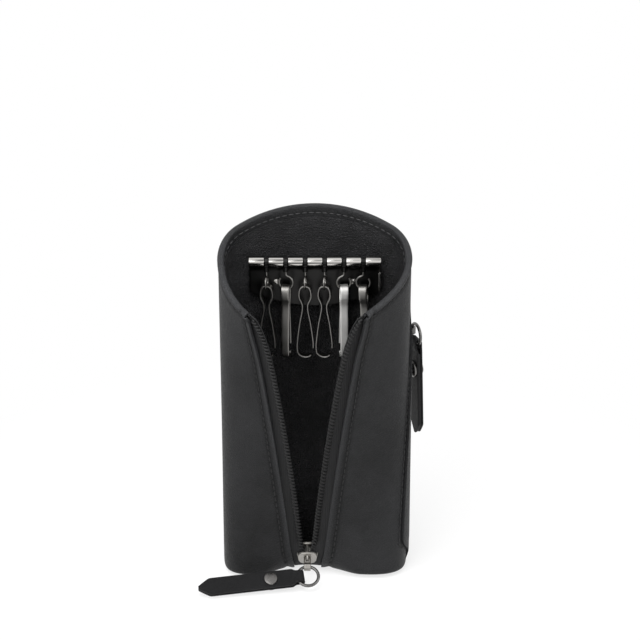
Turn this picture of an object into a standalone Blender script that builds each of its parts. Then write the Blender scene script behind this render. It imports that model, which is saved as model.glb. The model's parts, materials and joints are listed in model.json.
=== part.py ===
"""Zippered key holder: a soft leather pouch, standing with its front zip run down.

Metres, +Z up, the front faces -Y. The pouch is one surface, given by a plan curve at each
height. Every sheet of leather, tape and lining lies at its own depth under that surface.
"""

import math

import bpy
import bmesh
import numpy as np
from mathutils import Matrix, Vector

# The pouch
half_width = 0.0335
side_height = 0.122
rim_slope_share = 0.68
mouth_depth = 0.0185
base_depth = 0.014
side_set_forward = 0.005
back_corner_share = 0.68
flare_room = 0.0031
zip_set_left = 0.0028
clearance = 0.0003

# The two front flaps in plan: side handle, zip handle and zip edge, at the base and the rim
base_side_handle = 0.019
rim_side_handle = 0.0085
base_zip_handle = (0.010, -0.0132)
rim_zip_handle = (0.0265, -0.016)
base_zip_y = -0.0125
rim_zip_y = -0.022
zip_gap_foot = 0.0016
zip_gap_rise = 0.0091
zip_gap_bow = 0.0044
zip_gap_flare = 0.0035
flare_power_share = 14
closed_gap = 0.00015
zip_close_share = 0.45

# The turned-under base
side_fold_height = 0.0035
zip_fold_height = 0.016
back_fold_height = 0.002
zip_fold_reach_share = 0.45
back_fold_reach_share = 0.3
seam_width_share = 0.94
seam_lift = 0.001
seam_half_gap = 0.0002
base_flat_depth = 0.0009
seam_level_share = -0.985

# Sheets, from the outside in
leather = 0.0012
tape = 0.0004
lining_cloth = 0.0004
pocket_space = 0.0015
leather_edge = 0.0050
tape_cover = 0.0035
facing_cloth = 0.0006
lining_drop = 0.0036
lining_top_share = 0.967
lining_step_share = 0.030
lining_step_rise = 0.0088
lap_width = 0.0035
lap_top_share = 0.70
lap_foot_share = 0.03
lap_full_share = 0.083

# Zip coils
coil_width = 0.0022
coil_height = 0.00115
coil_pitch = 0.0014
coil_waist_share = 0.62
coil_bed = 0.0002

# Pocket in the back
pocket_zip_drop = 0.0472
pocket_window_height = 0.0092
pocket_corner_reach = 0.0022
pocket_slider_room = 0.0051
pocket_coil_room = 0.0029
pocket_link_eye = 0.0088

# Zip slider
slider_length = 0.0080
slider_front_width = 0.0076
slider_rear_width = 0.0060
slider_plate = 0.0008
slider_space = 0.0032
slider_rear_cut = 0.0020
slider_post = 0.0012
slider_post_length = 0.0022
slider_flange = 0.0004
slider_flange_drop = 0.0009
bail_reach = 0.0022
bail_rise = 0.0020
bail_wire = 0.0010
slider_level_share = -0.34

# Pullers
link_thickness = 0.0009
link_width = 0.0026
link_slot_width = 0.0015
link_slot_end = 0.0026
link_bar = 0.0008
link_eye = 0.0047
link_barrel = 0.0030
link_barrel_bore = 0.0019
link_barrel_share = 0.9
ring_radius = 0.0038
ring_wire = 0.0010
tab_length = 0.0385
tab_width = 0.0080
tab_neck_width = 0.0044
tab_shoulder = 0.0030
tab_tip = 0.0042
tab_thickness = 0.0022
tab_fold_thickness = 0.0029
tab_fold_wall = 0.0007
tab_fold_space = 0.0015
tab_fold_reach = 0.0018
tab_fold_back = 0.0008
rivet_from_loop = 0.0098
rivet_radius = 0.0029
rivet_dome = 0.0014
rivet_shank = 0.0022
main_slider_tilt = math.radians(3.6)
main_link_rise = math.radians(-6.0)
main_ring_tilt = math.radians(31.0)
main_ring_heading = math.radians(4.5)
main_tab_swing = math.radians(4.5)
pocket_link_angle = math.radians(66.0)
pocket_ring_heading = math.radians(68.0)

# Key plate and its six hooks
rod_radius = 0.0006
knuckle_radius = 0.0018
knuckle_bore = 0.0009
hook_pitch = 0.0068
hook_turns = tuple(math.radians(turn) for turn in (82, -8, 84, 82, 5, -8))
knuckle_gap = 0.0016
plate_side_room = 0.0103
plate_end_room = 0.0060
plate_thickness = 0.0007
plate_gap = 0.00015
plate_set_back = 0.0031
plate_step_top = 0.0010
plate_step_bottom = 0.0050
plate_side_drop = 0.0130
plate_middle_drop = 0.0184
plate_flange = 0.0018
pad_inset = 0.0032
pad_lift = 0.0013
plate_rivet_drop = 0.0089
plate_rivet_radius = 0.0012
hanger_width = 0.0010
hanger_radius = 0.0015
collar_radius = 0.0010
collar_top = 0.0021
collar_bottom = 0.0038
collar_bore = 0.0006
collar_bore_top = 0.0026
swivel_wire = 0.0007
swivel_top = 0.0056
swivel_radius = 0.00245
hook_width = 0.0028
hook_strip = 0.0005
hook_length = 0.0262
hook_half_span = 0.0031
hook_neck = 0.0066
hook_neck_half_gap = 0.0009
hook_loop_half_span = 0.0021

# The arc that the main slider runs on, in Y and Z, and where the halves of its zip swing from
main_path_centre = (0.3324, 0.0774)
zip_foot = (-0.012, 0.011)

overrun = 0.001
pivot_size = 0.005
probe_share = 0.002
seam_blend_share = 0.005
slider_probe_share = 0.1
weld_gap = 0.00001
coil_sides = 4


def clear_scene():
    for old in list(bpy.data.objects):
        bpy.data.objects.remove(old)


def make_material(name, color, roughness, metallic=0.0):
    material = bpy.data.materials.new(name)
    material.use_nodes = True
    shader = material.node_tree.nodes["Principled BSDF"]
    shader.inputs["Base Color"].default_value = (*color, 1.0)
    shader.inputs["Roughness"].default_value = roughness
    shader.inputs["Metallic"].default_value = metallic
    return material


def lerp(a, b, share):
    return a + (b - a) * share


def ease(share):
    share = min(max(share, 0.0), 1.0)
    return share * share * (3.0 - 2.0 * share)


# The pouch's surface

def half_gap(height_share):
    """Half the opening between the two coils."""
    bow = zip_gap_bow * height_share ** 2
    flare = zip_gap_flare * height_share ** flare_power_share
    return zip_gap_foot + zip_gap_rise * height_share + bow + flare


def back_rim():
    """Height of the rim at the middle of the back."""
    return side_height + rim_slope_share * mouth_depth - base_flat_depth


def wall_level(z):
    """The level of a height, at the middle of the back."""
    foot = back_fold_height - base_flat_depth
    return (z - foot) / (back_rim() - foot)


def pocket_height():
    return back_rim() - pocket_zip_drop


def flare_level():
    """The back widens from its base to just under the pocket's zip, and is upright above."""
    return wall_level(pocket_height() - pocket_window_height / 2 - tape_cover - flare_room)


def back_oval(height_share):
    """Depth, corner radius, main radius and main half angle of the back's three-arc curve."""
    depth = lerp(base_depth, mouth_depth, ease(height_share / flare_level()))
    corner = depth * back_corner_share
    reach = half_width - corner
    main = (reach ** 2 + depth ** 2 - corner ** 2) / (2.0 * (depth - corner))
    return depth, corner, main, math.atan2(reach, main - depth)


def side_y(height_share):
    return -side_set_forward * (1.0 - ease(height_share / flare_level()))


_flap_cache = {}


def flap_curve(height_share):
    """Points of a flap in plan, from the coil's edge to the side, with their lengths."""
    key = round(height_share, 6)
    if key not in _flap_cache:
        zip_edge = np.array([half_gap(height_share), lerp(base_zip_y, rim_zip_y, height_share)])
        zip_handle = lerp(np.array(base_zip_handle), np.array(rim_zip_handle), height_share)
        side = np.array([half_width, side_y(height_share)])
        side_handle = side - [0.0, lerp(base_side_handle, rim_side_handle, height_share)]
        s = np.linspace(0.0, 1.0, 49)[:, None]
        points = (
            (1 - s) ** 3 * zip_edge
            + 3 * (1 - s) ** 2 * s * zip_handle
            + 3 * (1 - s) * s ** 2 * side_handle
            + s ** 3 * side
        )
        steps = np.linalg.norm(np.diff(points, axis=0), axis=1)
        _flap_cache[key] = points, np.concatenate([[0.0], np.cumsum(steps)])
    return _flap_cache[key]


def flap_share(distance, height_share):
    """Where along the flap, from 0 at the coil to 1 at the side, a distance lies."""
    lengths = flap_curve(height_share)[1]
    return min(distance / lengths[-1], 1.0)


def plan_point(place, height_share):
    """Plan position: place 0 is the coil's edge, 1 the side and 2 the middle of the back."""
    if place <= 1.0:
        points, lengths = flap_curve(height_share)
        at = place * lengths[-1]
        return np.array([np.interp(at, lengths, points[:, 0]), np.interp(at, lengths, points[:, 1])])
    depth, corner, main, main_angle = back_oval(height_share)
    corner_arc = corner * (math.pi / 2 - main_angle)
    at = (place - 1.0) * (corner_arc + main * main_angle)
    if at < corner_arc:
        angle = at / corner
        centre = half_width - corner, side_y(height_share)
        return np.array([centre[0] + corner * math.cos(angle), centre[1] + corner * math.sin(angle)])
    angle = main_angle - (at - corner_arc) / main
    centre_y = side_y(height_share) + depth - main
    return np.array([main * math.sin(angle), centre_y + main * math.cos(angle)])


def fold_height(place):
    """The fold of the base is high under the zip and low at the back."""
    if place > 1.0:
        return lerp(side_fold_height, back_fold_height, ease((place - 1.0) / back_fold_reach_share))
    return lerp(zip_fold_height, side_fold_height, ease(place / zip_fold_reach_share))


def surface(side, place, level):
    """The pouch's outer surface. level 1 is the rim, 0 the top of the base's fold, -1 the seam."""
    height_share = max(level, 0.0)
    x, y = plan_point(place, height_share)
    if level < 0.0:
        closing = min(-level / zip_close_share, 1.0)
        x = max(x - half_gap(0.0) * closing * (1 - ease(place)), closed_gap)
    rim_z = side_height + rim_slope_share * plan_point(place, 1.0)[1]
    fold = fold_height(place)
    if level >= 0.0:
        z = lerp(fold, rim_z, level)
    else:
        turn = -level * math.pi / 2
        pull = 1.0 - math.cos(turn)
        x *= lerp(1.0, seam_width_share, pull * ease(place))
        half = seam_half_gap * min(max((place - 1.0) / seam_blend_share, -1.0), 1.0)
        y = lerp(y, half - side_set_forward, pull)
        z = fold * (1.0 - math.sin(turn)) + seam_lift * pull ** 2
    shift = zip_set_left * (1.0 - ease(place))
    return np.array([side * x - shift, y, z - base_flat_depth])


def inward_normal(side, place, level):
    low, high = max(place - probe_share, 0.0), min(place + probe_share, 2.0)
    under, over = max(level - probe_share, -1.0), min(level + probe_share, 1.0)
    along = surface(side, high, level) - surface(side, low, level)
    up = surface(side, place, over) - surface(side, place, under)
    normal = np.cross(along, up) * side
    return -normal / np.linalg.norm(normal)


def under_surface(side, place, level, depth):
    """A point at a depth under the surface; nothing goes below the ground."""
    point = surface(side, place, level) + inward_normal(side, place, level) * depth
    point[2] = max(point[2], 0.0)
    return point


# Meshes

def new_object(name, mesh, material, collection):
    item = bpy.data.objects.new(name, mesh)
    collection.objects.link(item)
    if material:
        mesh.materials.clear()
        mesh.materials.append(material)
    return item


def add_pivot(name, point, collection):
    """An empty on the axis that a piece turns about."""
    item = new_object(name, None, None, collection)
    item.empty_display_size = pivot_size
    item.location = point
    return item


def hang(item, place, carrier):
    """Put a piece in its place, to move with its carrier."""
    bpy.context.view_layer.update()
    item.parent = carrier
    item.matrix_parent_inverse = carrier.matrix_world.inverted()
    item.matrix_basis = place
    bpy.context.view_layer.update()
    return item


def mesh_from(vertices, faces):
    mesh = bpy.data.meshes.new("form")
    mesh.from_pydata([tuple(map(float, v)) for v in vertices], [], faces)
    work = bmesh.new()
    work.from_mesh(mesh)
    bmesh.ops.recalc_face_normals(work, faces=work.faces)
    if work.calc_volume(signed=True) < 0.0:
        bmesh.ops.reverse_faces(work, faces=work.faces)
    work.to_mesh(mesh)
    work.free()
    mesh.shade_smooth()
    mesh.set_sharp_from_angle(angle=math.radians(40.0))
    return mesh


def grid_shell(outer, inner):
    """A closed sheet between two grids of points, as rows of columns."""
    rows, columns = len(outer), len(outer[0])
    points = [p for row in outer for p in row] + [p for row in inner for p in row]
    half = rows * columns

    def at(i, j, layer):
        return layer * half + i * columns + j

    faces = []
    for i in range(rows - 1):
        for j in range(columns - 1):
            quad = [(i, j), (i, j + 1), (i + 1, j + 1), (i + 1, j)]
            faces.append([at(a, b, 0) for a, b in quad])
            faces.append([at(a, b, 1) for a, b in reversed(quad)])
    rim = (
        [(0, j) for j in range(columns)]
        + [(i, columns - 1) for i in range(1, rows)]
        + [(rows - 1, j) for j in reversed(range(columns - 1))]
        + [(i, 0) for i in reversed(range(1, rows - 1))]
    )
    for here, there in zip(rim, rim[1:] + rim[:1]):
        faces.append([at(*there, 0), at(*here, 0), at(*here, 1), at(*there, 1)])
    return mesh_from(points, faces)


def loft(sections):
    """A closed body through rings of points, capped at both ends."""
    count = len(sections[0])
    points = [p for ring in sections for p in ring]
    faces = []
    for i in range(len(sections) - 1):
        for j in range(count):
            k = (j + 1) % count
            faces.append([i * count + j, i * count + k, (i + 1) * count + k, (i + 1) * count + j])
    faces.append(list(reversed(range(count))))
    faces.append([(len(sections) - 1) * count + j for j in range(count)])
    return mesh_from(points, faces)


def welded(mesh):
    """A closed mesh with its doubles merged and its faces pointing out."""
    work = bmesh.new()
    work.from_mesh(mesh)
    bmesh.ops.remove_doubles(work, verts=work.verts, dist=weld_gap)
    bmesh.ops.recalc_face_normals(work, faces=work.faces)
    work.to_mesh(mesh)
    work.free()
    mesh.shade_smooth()
    mesh.set_sharp_from_angle(angle=math.radians(40.0))
    return mesh


def prism(outline, low, high):
    """An outline in X and Y, extruded along Z."""
    curve = bpy.data.curves.new("outline", "CURVE")
    curve.dimensions = "2D"
    curve.fill_mode = "BOTH"
    curve.extrude = (high - low) / 2
    spline = curve.splines.new("POLY")
    spline.points.add(len(outline) - 1)
    spline.use_cyclic_u = True
    for knot, (x, y) in zip(spline.points, outline):
        knot.co = (x, y, 0.0, 1.0)
    mesh = made_real(curve)
    mesh.transform(Matrix.Translation((0.0, 0.0, (low + high) / 2)))
    return welded(mesh)


def sheet(columns, levels, outer_depth, inner_depth):
    """A sheet of the pouch. A column is (side, function of level giving the place)."""
    outer, inner = [], []
    for level in levels:
        outer.append([under_surface(s, at(level), level, outer_depth(s, at(level), level))
                      for s, at in columns])
        inner.append([under_surface(s, at(level), level, inner_depth(s, at(level), level))
                      for s, at in columns])
    return grid_shell(outer, inner)


def depth_of(value):
    return lambda side, place, level: value


def fixed_place(place):
    return lambda level: place


def place_at(distance):
    """A place that keeps its distance from the coil's edge at every level."""
    return lambda level: flap_share(distance, max(level, 0.0))


def place_between(distance, share, end=1.0):
    """A place part of the way from a distance off the coil to another place."""
    return lambda level: lerp(flap_share(distance, max(level, 0.0)), end, share)


def evaluated_mesh(item):
    graph = bpy.context.evaluated_depsgraph_get()
    return bpy.data.meshes.new_from_object(item.evaluated_get(graph))


def made_real(data, modifier_kind=None, **settings):
    """The mesh that a curve, or a mesh under one modifier, comes to."""
    item = bpy.data.objects.new("blank", data)
    bpy.context.scene.collection.objects.link(item)
    if modifier_kind:
        modifier = item.modifiers.new("step", modifier_kind)
        for setting, value in settings.items():
            setattr(modifier, setting, value)
    mesh = evaluated_mesh(item)
    bpy.data.objects.remove(item)
    return mesh


def bounded_curve(points, radius, sides_share, radii=None, cyclic=False):
    """A closed round tube along points, as a mesh."""
    curve = bpy.data.curves.new("wire", "CURVE")
    curve.dimensions = "3D"
    curve.bevel_depth = radius
    curve.bevel_resolution = sides_share
    curve.use_fill_caps = not cyclic
    spline = curve.splines.new("POLY")
    spline.points.add(len(points) - 1)
    spline.use_cyclic_u = cyclic
    for knot, point in zip(spline.points, points):
        knot.co = (*point, 1.0)
    for knot, share in zip(spline.points, radii or [1.0] * len(points)):
        knot.radius = share
    return welded(made_real(curve))


def combine(base, others, operation):
    """Join or cut a mesh with others and give the new mesh."""
    scene = bpy.context.scene.collection
    item = bpy.data.objects.new("base", base)
    scene.objects.link(item)
    tools = []
    for other in others:
        tool = bpy.data.objects.new("tool", other)
        tool.display_type = "WIRE"
        tool.hide_render = True
        scene.objects.link(tool)
        tools.append(tool)
        step = item.modifiers.new("step", "BOOLEAN")
        step.operation = operation
        step.object = tool
    mesh = evaluated_mesh(item)
    for old in [item] + tools:
        bpy.data.objects.remove(old)
    mesh.shade_smooth()
    mesh.set_sharp_from_angle(angle=math.radians(40.0))
    return mesh


def moved(mesh, matrix):
    copy = mesh.copy()
    copy.transform(matrix)
    return copy


def box(low, high):
    size = [b - a for a, b in zip(low, high)]
    middle = [(a + b) / 2 for a, b in zip(low, high)]
    work = bmesh.new()
    place = Matrix.Translation(middle) @ Matrix.Diagonal((*size, 1.0))
    bmesh.ops.create_cube(work, size=1.0, matrix=place)
    mesh = bpy.data.meshes.new("box")
    work.to_mesh(mesh)
    work.free()
    return mesh


def drum(radius, low, high, axis="Z", sides=16):
    """A cylinder about an axis through the origin, with a flat towards each other axis."""
    work = bmesh.new()
    place = Matrix.Translation((0.0, 0.0, (low + high) / 2)) @ Matrix.Rotation(math.pi / sides, 4, "Z")
    bmesh.ops.create_cone(work, cap_ends=True, segments=sides, radius1=radius, radius2=radius,
                          depth=high - low, matrix=place)
    mesh = bpy.data.meshes.new("drum")
    work.to_mesh(mesh)
    work.free()
    if axis == "X":
        mesh.transform(Matrix.Rotation(math.pi / 2, 4, "Y"))
    if axis == "Y":
        mesh.transform(Matrix.Rotation(-math.pi / 2, 4, "X"))
    mesh.shade_smooth()
    mesh.set_sharp_from_angle(angle=math.radians(40.0))
    return mesh


def turned(profile, sides=12):
    """A turned body from (radius, height) points, from its lower end to its upper one."""
    points = [(0.0, profile[0][1])] + list(profile) + [(0.0, profile[-1][1])]
    mesh = bpy.data.meshes.new("profile")
    edges = [(k, k + 1) for k in range(len(points) - 1)]
    mesh.from_pydata([(r, 0.0, z) for r, z in reversed(points)], edges, [])
    return welded(made_real(mesh, "SCREW", steps=sides, render_steps=sides,
                            use_merge_vertices=True, merge_threshold=weld_gap))


def frame(origin, x_axis, y_axis, z_axis):
    matrix = Matrix.Identity(4)
    for column, axis in enumerate((x_axis, y_axis, z_axis)):
        matrix.col[column][:3] = Vector([float(v) for v in axis]).normalized()
    matrix.translation = Vector([float(v) for v in origin])
    return matrix


# The leather case

wall_levels = [0.0, lap_foot_share] + [k / 12 for k in range(1, 13)]
coil_levels = (-0.66, 0.955)
fold_levels = [-0.15, -0.34, -0.60, -0.74, -0.86, seam_level_share]
lining_fold_levels = [-0.93, -0.62, -0.28]
lining_wall_shares = [0.0, 0.225, 0.45, 0.675, 0.843, 1.0]
case_levels = fold_levels[::-1] + wall_levels
front_shares = [0.0, 0.12, 0.28, 0.46, 0.64, 0.82]


def front_columns(side):
    columns = [(side, place_between(leather_edge, share)) for share in front_shares]
    gap_share = clearance / half_width
    return columns + [(side, fixed_place(1.0 - gap_share))]


def lap_start(level):
    """The back panel's front edge on the right, which laps over the front panel."""
    rise = min(max(level, 0.0) / lap_top_share, 1.0)
    grown = min(max((level - lap_foot_share) / (lap_full_share - lap_foot_share), 0.0), 1.0)
    return 1.0 + clearance / half_width - flap_share(lap_width, 0.0) * (1.0 - rise ** 2) * grown


def lap_depth(side, place, level):
    """The back panel's depth: it lies over the front panel near its right edge."""
    if side < 0:
        return 0.0
    grown = min(max(level / lap_foot_share, 0.0), 1.0)
    return -(leather + clearance) * (1.0 - ease((place - 1.0) / 0.22)) * grown


def back_columns():
    gap_share = clearance / half_width
    lap = [(1, lap_start), (1, lambda level: lerp(lap_start(level), 1.03, 0.5))]
    right = [(1, fixed_place(p)) for p in (1.03, 1.09, 1.16, 1.24, 1.34, 1.46, 1.6, 1.73, 1.86)]
    left = [(-1, fixed_place(p)) for p in (1.86, 1.73, 1.6, 1.46, 1.34, 1.22, 1.1, 1.0 + gap_share)]
    return lap + right + [(1, fixed_place(2.0))] + left


def arc_point(distance, depth, z):
    """A point of the back, a distance round it from its middle."""
    full, corner, main, main_angle = back_oval(1.0)
    bend = abs(distance) / main
    over = max(abs(distance) - main * main_angle, 0.0)
    if over:
        bend = main_angle + over / corner
    centre_x = half_width - corner if over else 0.0
    centre_y = 0.0 if over else full - main
    reach = (corner if over else main) - depth
    x = math.copysign(centre_x + reach * math.sin(bend), distance)
    return np.array([x, centre_y + reach * math.cos(bend), z])


def back_y(x, depth):
    """How far back the wall behind a place stands, a depth under its surface."""
    full, corner, main, main_angle = back_oval(1.0)
    if abs(x) < (main - depth) * math.sin(main_angle):
        return full - main + math.sqrt((main - depth) ** 2 - x ** 2)
    return math.sqrt((corner - depth) ** 2 - (abs(x) - half_width + corner) ** 2)


def pocket_half_length():
    """The pocket's zip runs from just past one corner of the back to just past the other."""
    main, main_angle = back_oval(1.0)[2:]
    return main * main_angle + pocket_corner_reach


def arc_sheet(half_length, low, high, outer_depth, inner_depth, steps=8):
    places = [lerp(-half_length, half_length, k / steps) for k in range(steps + 1)]
    grids = [
        [[arc_point(at, depth, z) for at in places] for z in (low, high)]
        for depth in (outer_depth, inner_depth)
    ]
    return grid_shell(*grids)


def back_panel_mesh():
    whole = sheet(
        back_columns(), case_levels, lap_depth,
        lambda s, p, l: lap_depth(s, p, l) + leather,
    )
    half = pocket_window_height / 2
    window = arc_sheet(pocket_half_length(), pocket_height() - half, pocket_height() + half,
                       -overrun, leather + overrun)
    return combine(whole, [window], "DIFFERENCE")


def pocket_top():
    """The height over which the lining lies on the wall again."""
    return pocket_height() + pocket_window_height / 2 + lining_step_rise


def lining_levels():
    top = wall_level(pocket_top())
    foot = top - lining_step_share
    wall = [foot * share for share in lining_wall_shares]
    return lining_fold_levels + wall + [top, (top + lining_top_share) / 2, lining_top_share]


def lining_depth(side, place, level):
    """The lining steps in behind the pocket, and comes back out under the rim."""
    base = leather + tape + 2 * clearance
    behind = ease((place - 0.85) / 0.2) * ease((wall_level(pocket_top()) - level) / lining_step_share)
    return base + (pocket_space + clearance) * behind


def lining_point(side, place, level, depth):
    """Over the fold of the base the lining closes to a floor of its own."""
    if level >= 0.0:
        return under_surface(side, place, level, depth)
    top = under_surface(side, place, 0.0, depth)
    turn = -level * math.pi / 2
    pull = 1.0 - math.cos(turn)
    half = seam_half_gap * min(max((place - 1.0) / seam_blend_share, -1.0), 1.0)
    x = top[0] * lerp(1.0, seam_width_share, pull)
    y = lerp(top[1], half - side_set_forward, pull)
    return np.array([x, y, lerp(top[2], depth, math.sin(turn))])


def lining_mesh():
    columns = lining_columns()
    grids = []
    for extra in (0.0, lining_cloth):
        grids.append([
            [lining_point(side, at(level), level, lining_depth(side, at(level), level) + extra)
             for side, at in columns]
            for level in lining_levels()
        ])
    return grid_shell(*grids)


def lining_columns():
    flap = [(1, place_between(leather_edge + tape_cover * 0.6, s)) for s in (0.0, 0.25, 0.5, 0.75)]
    back = [(1, fixed_place(p)) for p in (1.0, 1.1, 1.22, 1.38, 1.58, 1.79, 2.0)]
    right = flap + back
    left = [(-1, at) for _, at in reversed(right[:-1])]
    return right + left


def rim_level(drop, place):
    """The level that lies a drop under the rim."""
    rim_z = side_height + rim_slope_share * plan_point(place, 1.0)[1]
    return 1.0 - drop / rim_z


def rim_strip(columns, top_drop, bottom_drop, outer_depth, inner_depth):
    outer, inner = [], []
    for drop in (bottom_drop, (bottom_drop + top_drop) / 2, top_drop):
        row_out, row_in = [], []
        for side, at in columns:
            place = at(1.0)
            level = rim_level(drop, place)
            row_out.append(under_surface(side, place, level, outer_depth))
            row_in.append(under_surface(side, place, level, inner_depth))
        outer.append(row_out)
        inner.append(row_in)
    return grid_shell(outer, inner)


def facing_columns():
    right = [(1, place_between(leather_edge + tape_cover + 2 * clearance, s)) for s in (0, 0.33, 0.66)]
    right += [(1, fixed_place(p)) for p in (1.0, 1.1, 1.24, 1.46, 1.73, 2.0)]
    return right + [(-1, at) for _, at in reversed(right[:-1])]


# Zips

tape_levels = fold_levels[::-1] + [k / 12 for k in range(12)] + [0.965]


def tape_mesh(side):
    columns = [(side, place_at(coil_width * 0.25))]
    columns += [(side, place_between(leather_edge, share)) for share in front_shares[:2]]
    outer = leather + clearance + tape / 4
    return sheet(columns, tape_levels, depth_of(outer), depth_of(outer + tape))


def coil_path(side, start_level, end_level):
    """Centre, sideways and outward directions at half-pitch steps along a coil."""
    depth = leather + clearance - coil_bed - coil_height / 2
    fine = np.linspace(start_level, end_level, 400)
    points = []
    for level in fine:
        place = flap_share(coil_width / 2, max(level, 0.0))
        points.append(under_surface(side, place, level, depth))
    points = np.array(points)
    length = np.concatenate([[0.0], np.cumsum(np.linalg.norm(np.diff(points, axis=0), axis=1))])
    count = 2 * int(length[-1] / coil_pitch)
    levels = np.interp(np.linspace(0.0, length[-1], count + 1), length, fine)
    out = []
    for level in levels:
        place = flap_share(coil_width / 2, max(level, 0.0))
        centre = under_surface(side, place, level, depth)
        outward = -inward_normal(side, place, level)
        ahead = under_surface(side, place, min(level + 0.004, 1.0), depth)
        behind = under_surface(side, place, level - 0.004, depth)
        forward = (ahead - behind) / np.linalg.norm(ahead - behind)
        sideways = np.cross(forward, outward)
        out.append((centre, sideways / np.linalg.norm(sideways), outward))
    return out


def coil_mesh(path):
    """A coil as a cord with one rib for each turn."""
    rings = []
    for k, (centre, sideways, outward) in enumerate(path):
        share = 1.0 if k % 2 else coil_waist_share
        ring = []
        for corner in range(coil_sides):
            angle = 2 * math.pi / coil_sides * corner
            ring.append(centre + sideways * (coil_width / 2 * share * math.cos(angle))
                        + outward * (coil_height / 2 * lerp(1.0, share, 0.5) * math.sin(angle)))
        rings.append(ring)
    return loft(rings)


def pocket_slider_place():
    return pocket_half_length() - pocket_slider_room


def arc_coil_path(z):
    start = 2 * coil_pitch - pocket_half_length()
    end = pocket_slider_place() - pocket_coil_room
    count = 2 * int((end - start) / coil_pitch)
    depth = leather + clearance - coil_bed - coil_height / 2
    out = []
    for k in range(count + 1):
        at = lerp(start, end, k / count)
        outward = arc_point(at, 0.0, z) - arc_point(at, depth, z)
        outward /= np.linalg.norm(outward)
        out.append((arc_point(at, depth, z), np.array([0.0, 0.0, 1.0]), outward))
    return out


# Zip slider: X across, Y along towards the open side, Z outward

def slider_outline(inset=0.0):
    points = []
    for k in range(12):
        angle = 2 * math.pi * (k + 0.5) / 12
        y = math.copysign(abs(math.sin(angle)) ** 0.7, math.sin(angle)) * (slider_length / 2 - inset)
        share = (y / slider_length) + 0.5
        half = lerp(slider_rear_width, slider_front_width, share) / 2 - inset
        points.append((math.copysign(abs(math.cos(angle)) ** 0.55, math.cos(angle)) * half, y))
    return points


def cut_outline(outline, low):
    """An outline cut off square under a height."""
    kept = []
    for k, (x, y) in enumerate(outline):
        beside = max(outline[k - 1][1], outline[(k + 1) % len(outline)][1])
        if y > low or beside > low:
            kept.append((x, max(y, low)))
    return kept


def slider_mesh():
    half = slider_space / 2
    embed = clearance / 2
    outer = prism(slider_outline(), half, half + slider_plate)
    low = slider_rear_cut - slider_length / 2
    pieces = [prism(cut_outline(slider_outline(), low), -half - slider_plate, -half)]
    front = slider_length / 2 - slider_post_length / 2 - slider_plate
    post = [(slider_post / 2 * math.sin(a), front + slider_post_length / 2 * math.cos(a))
            for a in [math.pi / 4 * k for k in range(8)]]
    pieces.append(prism(post, -half - embed, half + embed))
    for side in (-1, 1):
        rear_x = slider_rear_width / 2 - slider_flange
        front_x = slider_front_width / 2 - slider_flange
        rear_y, front_y = -slider_length * 0.36, slider_length * 0.2
        wall = slider_flange * 0.8
        flange = [(side * rear_x, rear_y), (side * (rear_x + wall), rear_y),
                  (side * (front_x + wall), front_y), (side * front_x, front_y)]
        pieces.append(prism(flange, half - slider_flange_drop, half + embed))
    top = half + slider_plate
    arch = [(0.0, bail_reach * math.cos(a), top - embed + bail_rise * math.sin(a))
            for a in [math.pi * k / 6 for k in range(7)]]
    arch[0] = (0.0, bail_reach, top - slider_plate / 2)
    arch[-1] = (0.0, -bail_reach, top - slider_plate / 2)
    pieces.append(bounded_curve(arch, bail_wire / 2, 1))
    return combine(outer, pieces, "UNION")


# Pullers. Each piece is made about its own hinge

def link_pivot_height():
    return slider_space / 2 + slider_plate + (bail_rise - bail_wire / 2) / 2


def link_mesh(eye_reach):
    """The link runs along +Y from the bail; its far end is a barrel about X for the ring."""
    half = link_width / 2
    plate = box((-half, -link_bar / 2, -link_thickness / 2), (half, eye_reach, link_thickness / 2))
    slot = link_slot_width / 2
    slot_end = eye_reach - link_eye + link_slot_end
    window = box((-slot, link_bar / 2, -link_thickness), (slot, slot_end, link_thickness))
    at_eye = Matrix.Translation((0.0, eye_reach, 0.0))
    side = half * link_barrel_share
    barrel = moved(drum(link_barrel / 2, -side, side, axis="X", sides=12), at_eye)
    bore = moved(drum(link_barrel_bore / 2, -link_width, link_width, axis="X", sides=12), at_eye)
    whole = combine(plate, [barrel], "UNION")
    return combine(whole, [window, bore], "DIFFERENCE")


def ring_mesh():
    """A ring in the X and Y plane, about its centre."""
    points = [(ring_radius * math.cos(a), ring_radius * math.sin(a), 0.0)
              for a in [2 * math.pi * k / 20 for k in range(20)]]
    return bounded_curve(points, ring_wire / 2, 1, cyclic=True)


def tab_mesh():
    """The folded strap runs along +X from the ring's wire; Y is across it, Z its thickness."""
    neck, half = tab_neck_width / 2, tab_width / 2
    thick, fold = tab_thickness / 2, tab_fold_thickness / 2
    closed = -tab_fold_reach - tab_fold_wall
    end = tab_length + closed
    stations = [(closed, neck, fold * 0.35), (closed + fold * 0.3, neck, fold * 0.8),
                (closed + fold, neck, fold), (tab_fold_back, neck, fold),
                (tab_fold_back + tab_shoulder, half, thick), (end - tab_tip, half, thick),
                (end, half * 0.12, thick)]
    rings = [[(x, -y, -z), (x, y, -z), (x, y, z), (x, -y, z)] for x, y, z in stations]
    room = tab_fold_space / 2
    space = box((-tab_fold_reach, -tab_width, -room), (tab_fold_back, tab_width, room))
    hole = moved(drum(rivet_shank / 2 + clearance, -tab_width, tab_width, sides=10),
                 Matrix.Translation((rivet_from_loop, 0.0, 0.0)))
    return combine(loft(rings), [space, hole], "DIFFERENCE")


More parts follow.
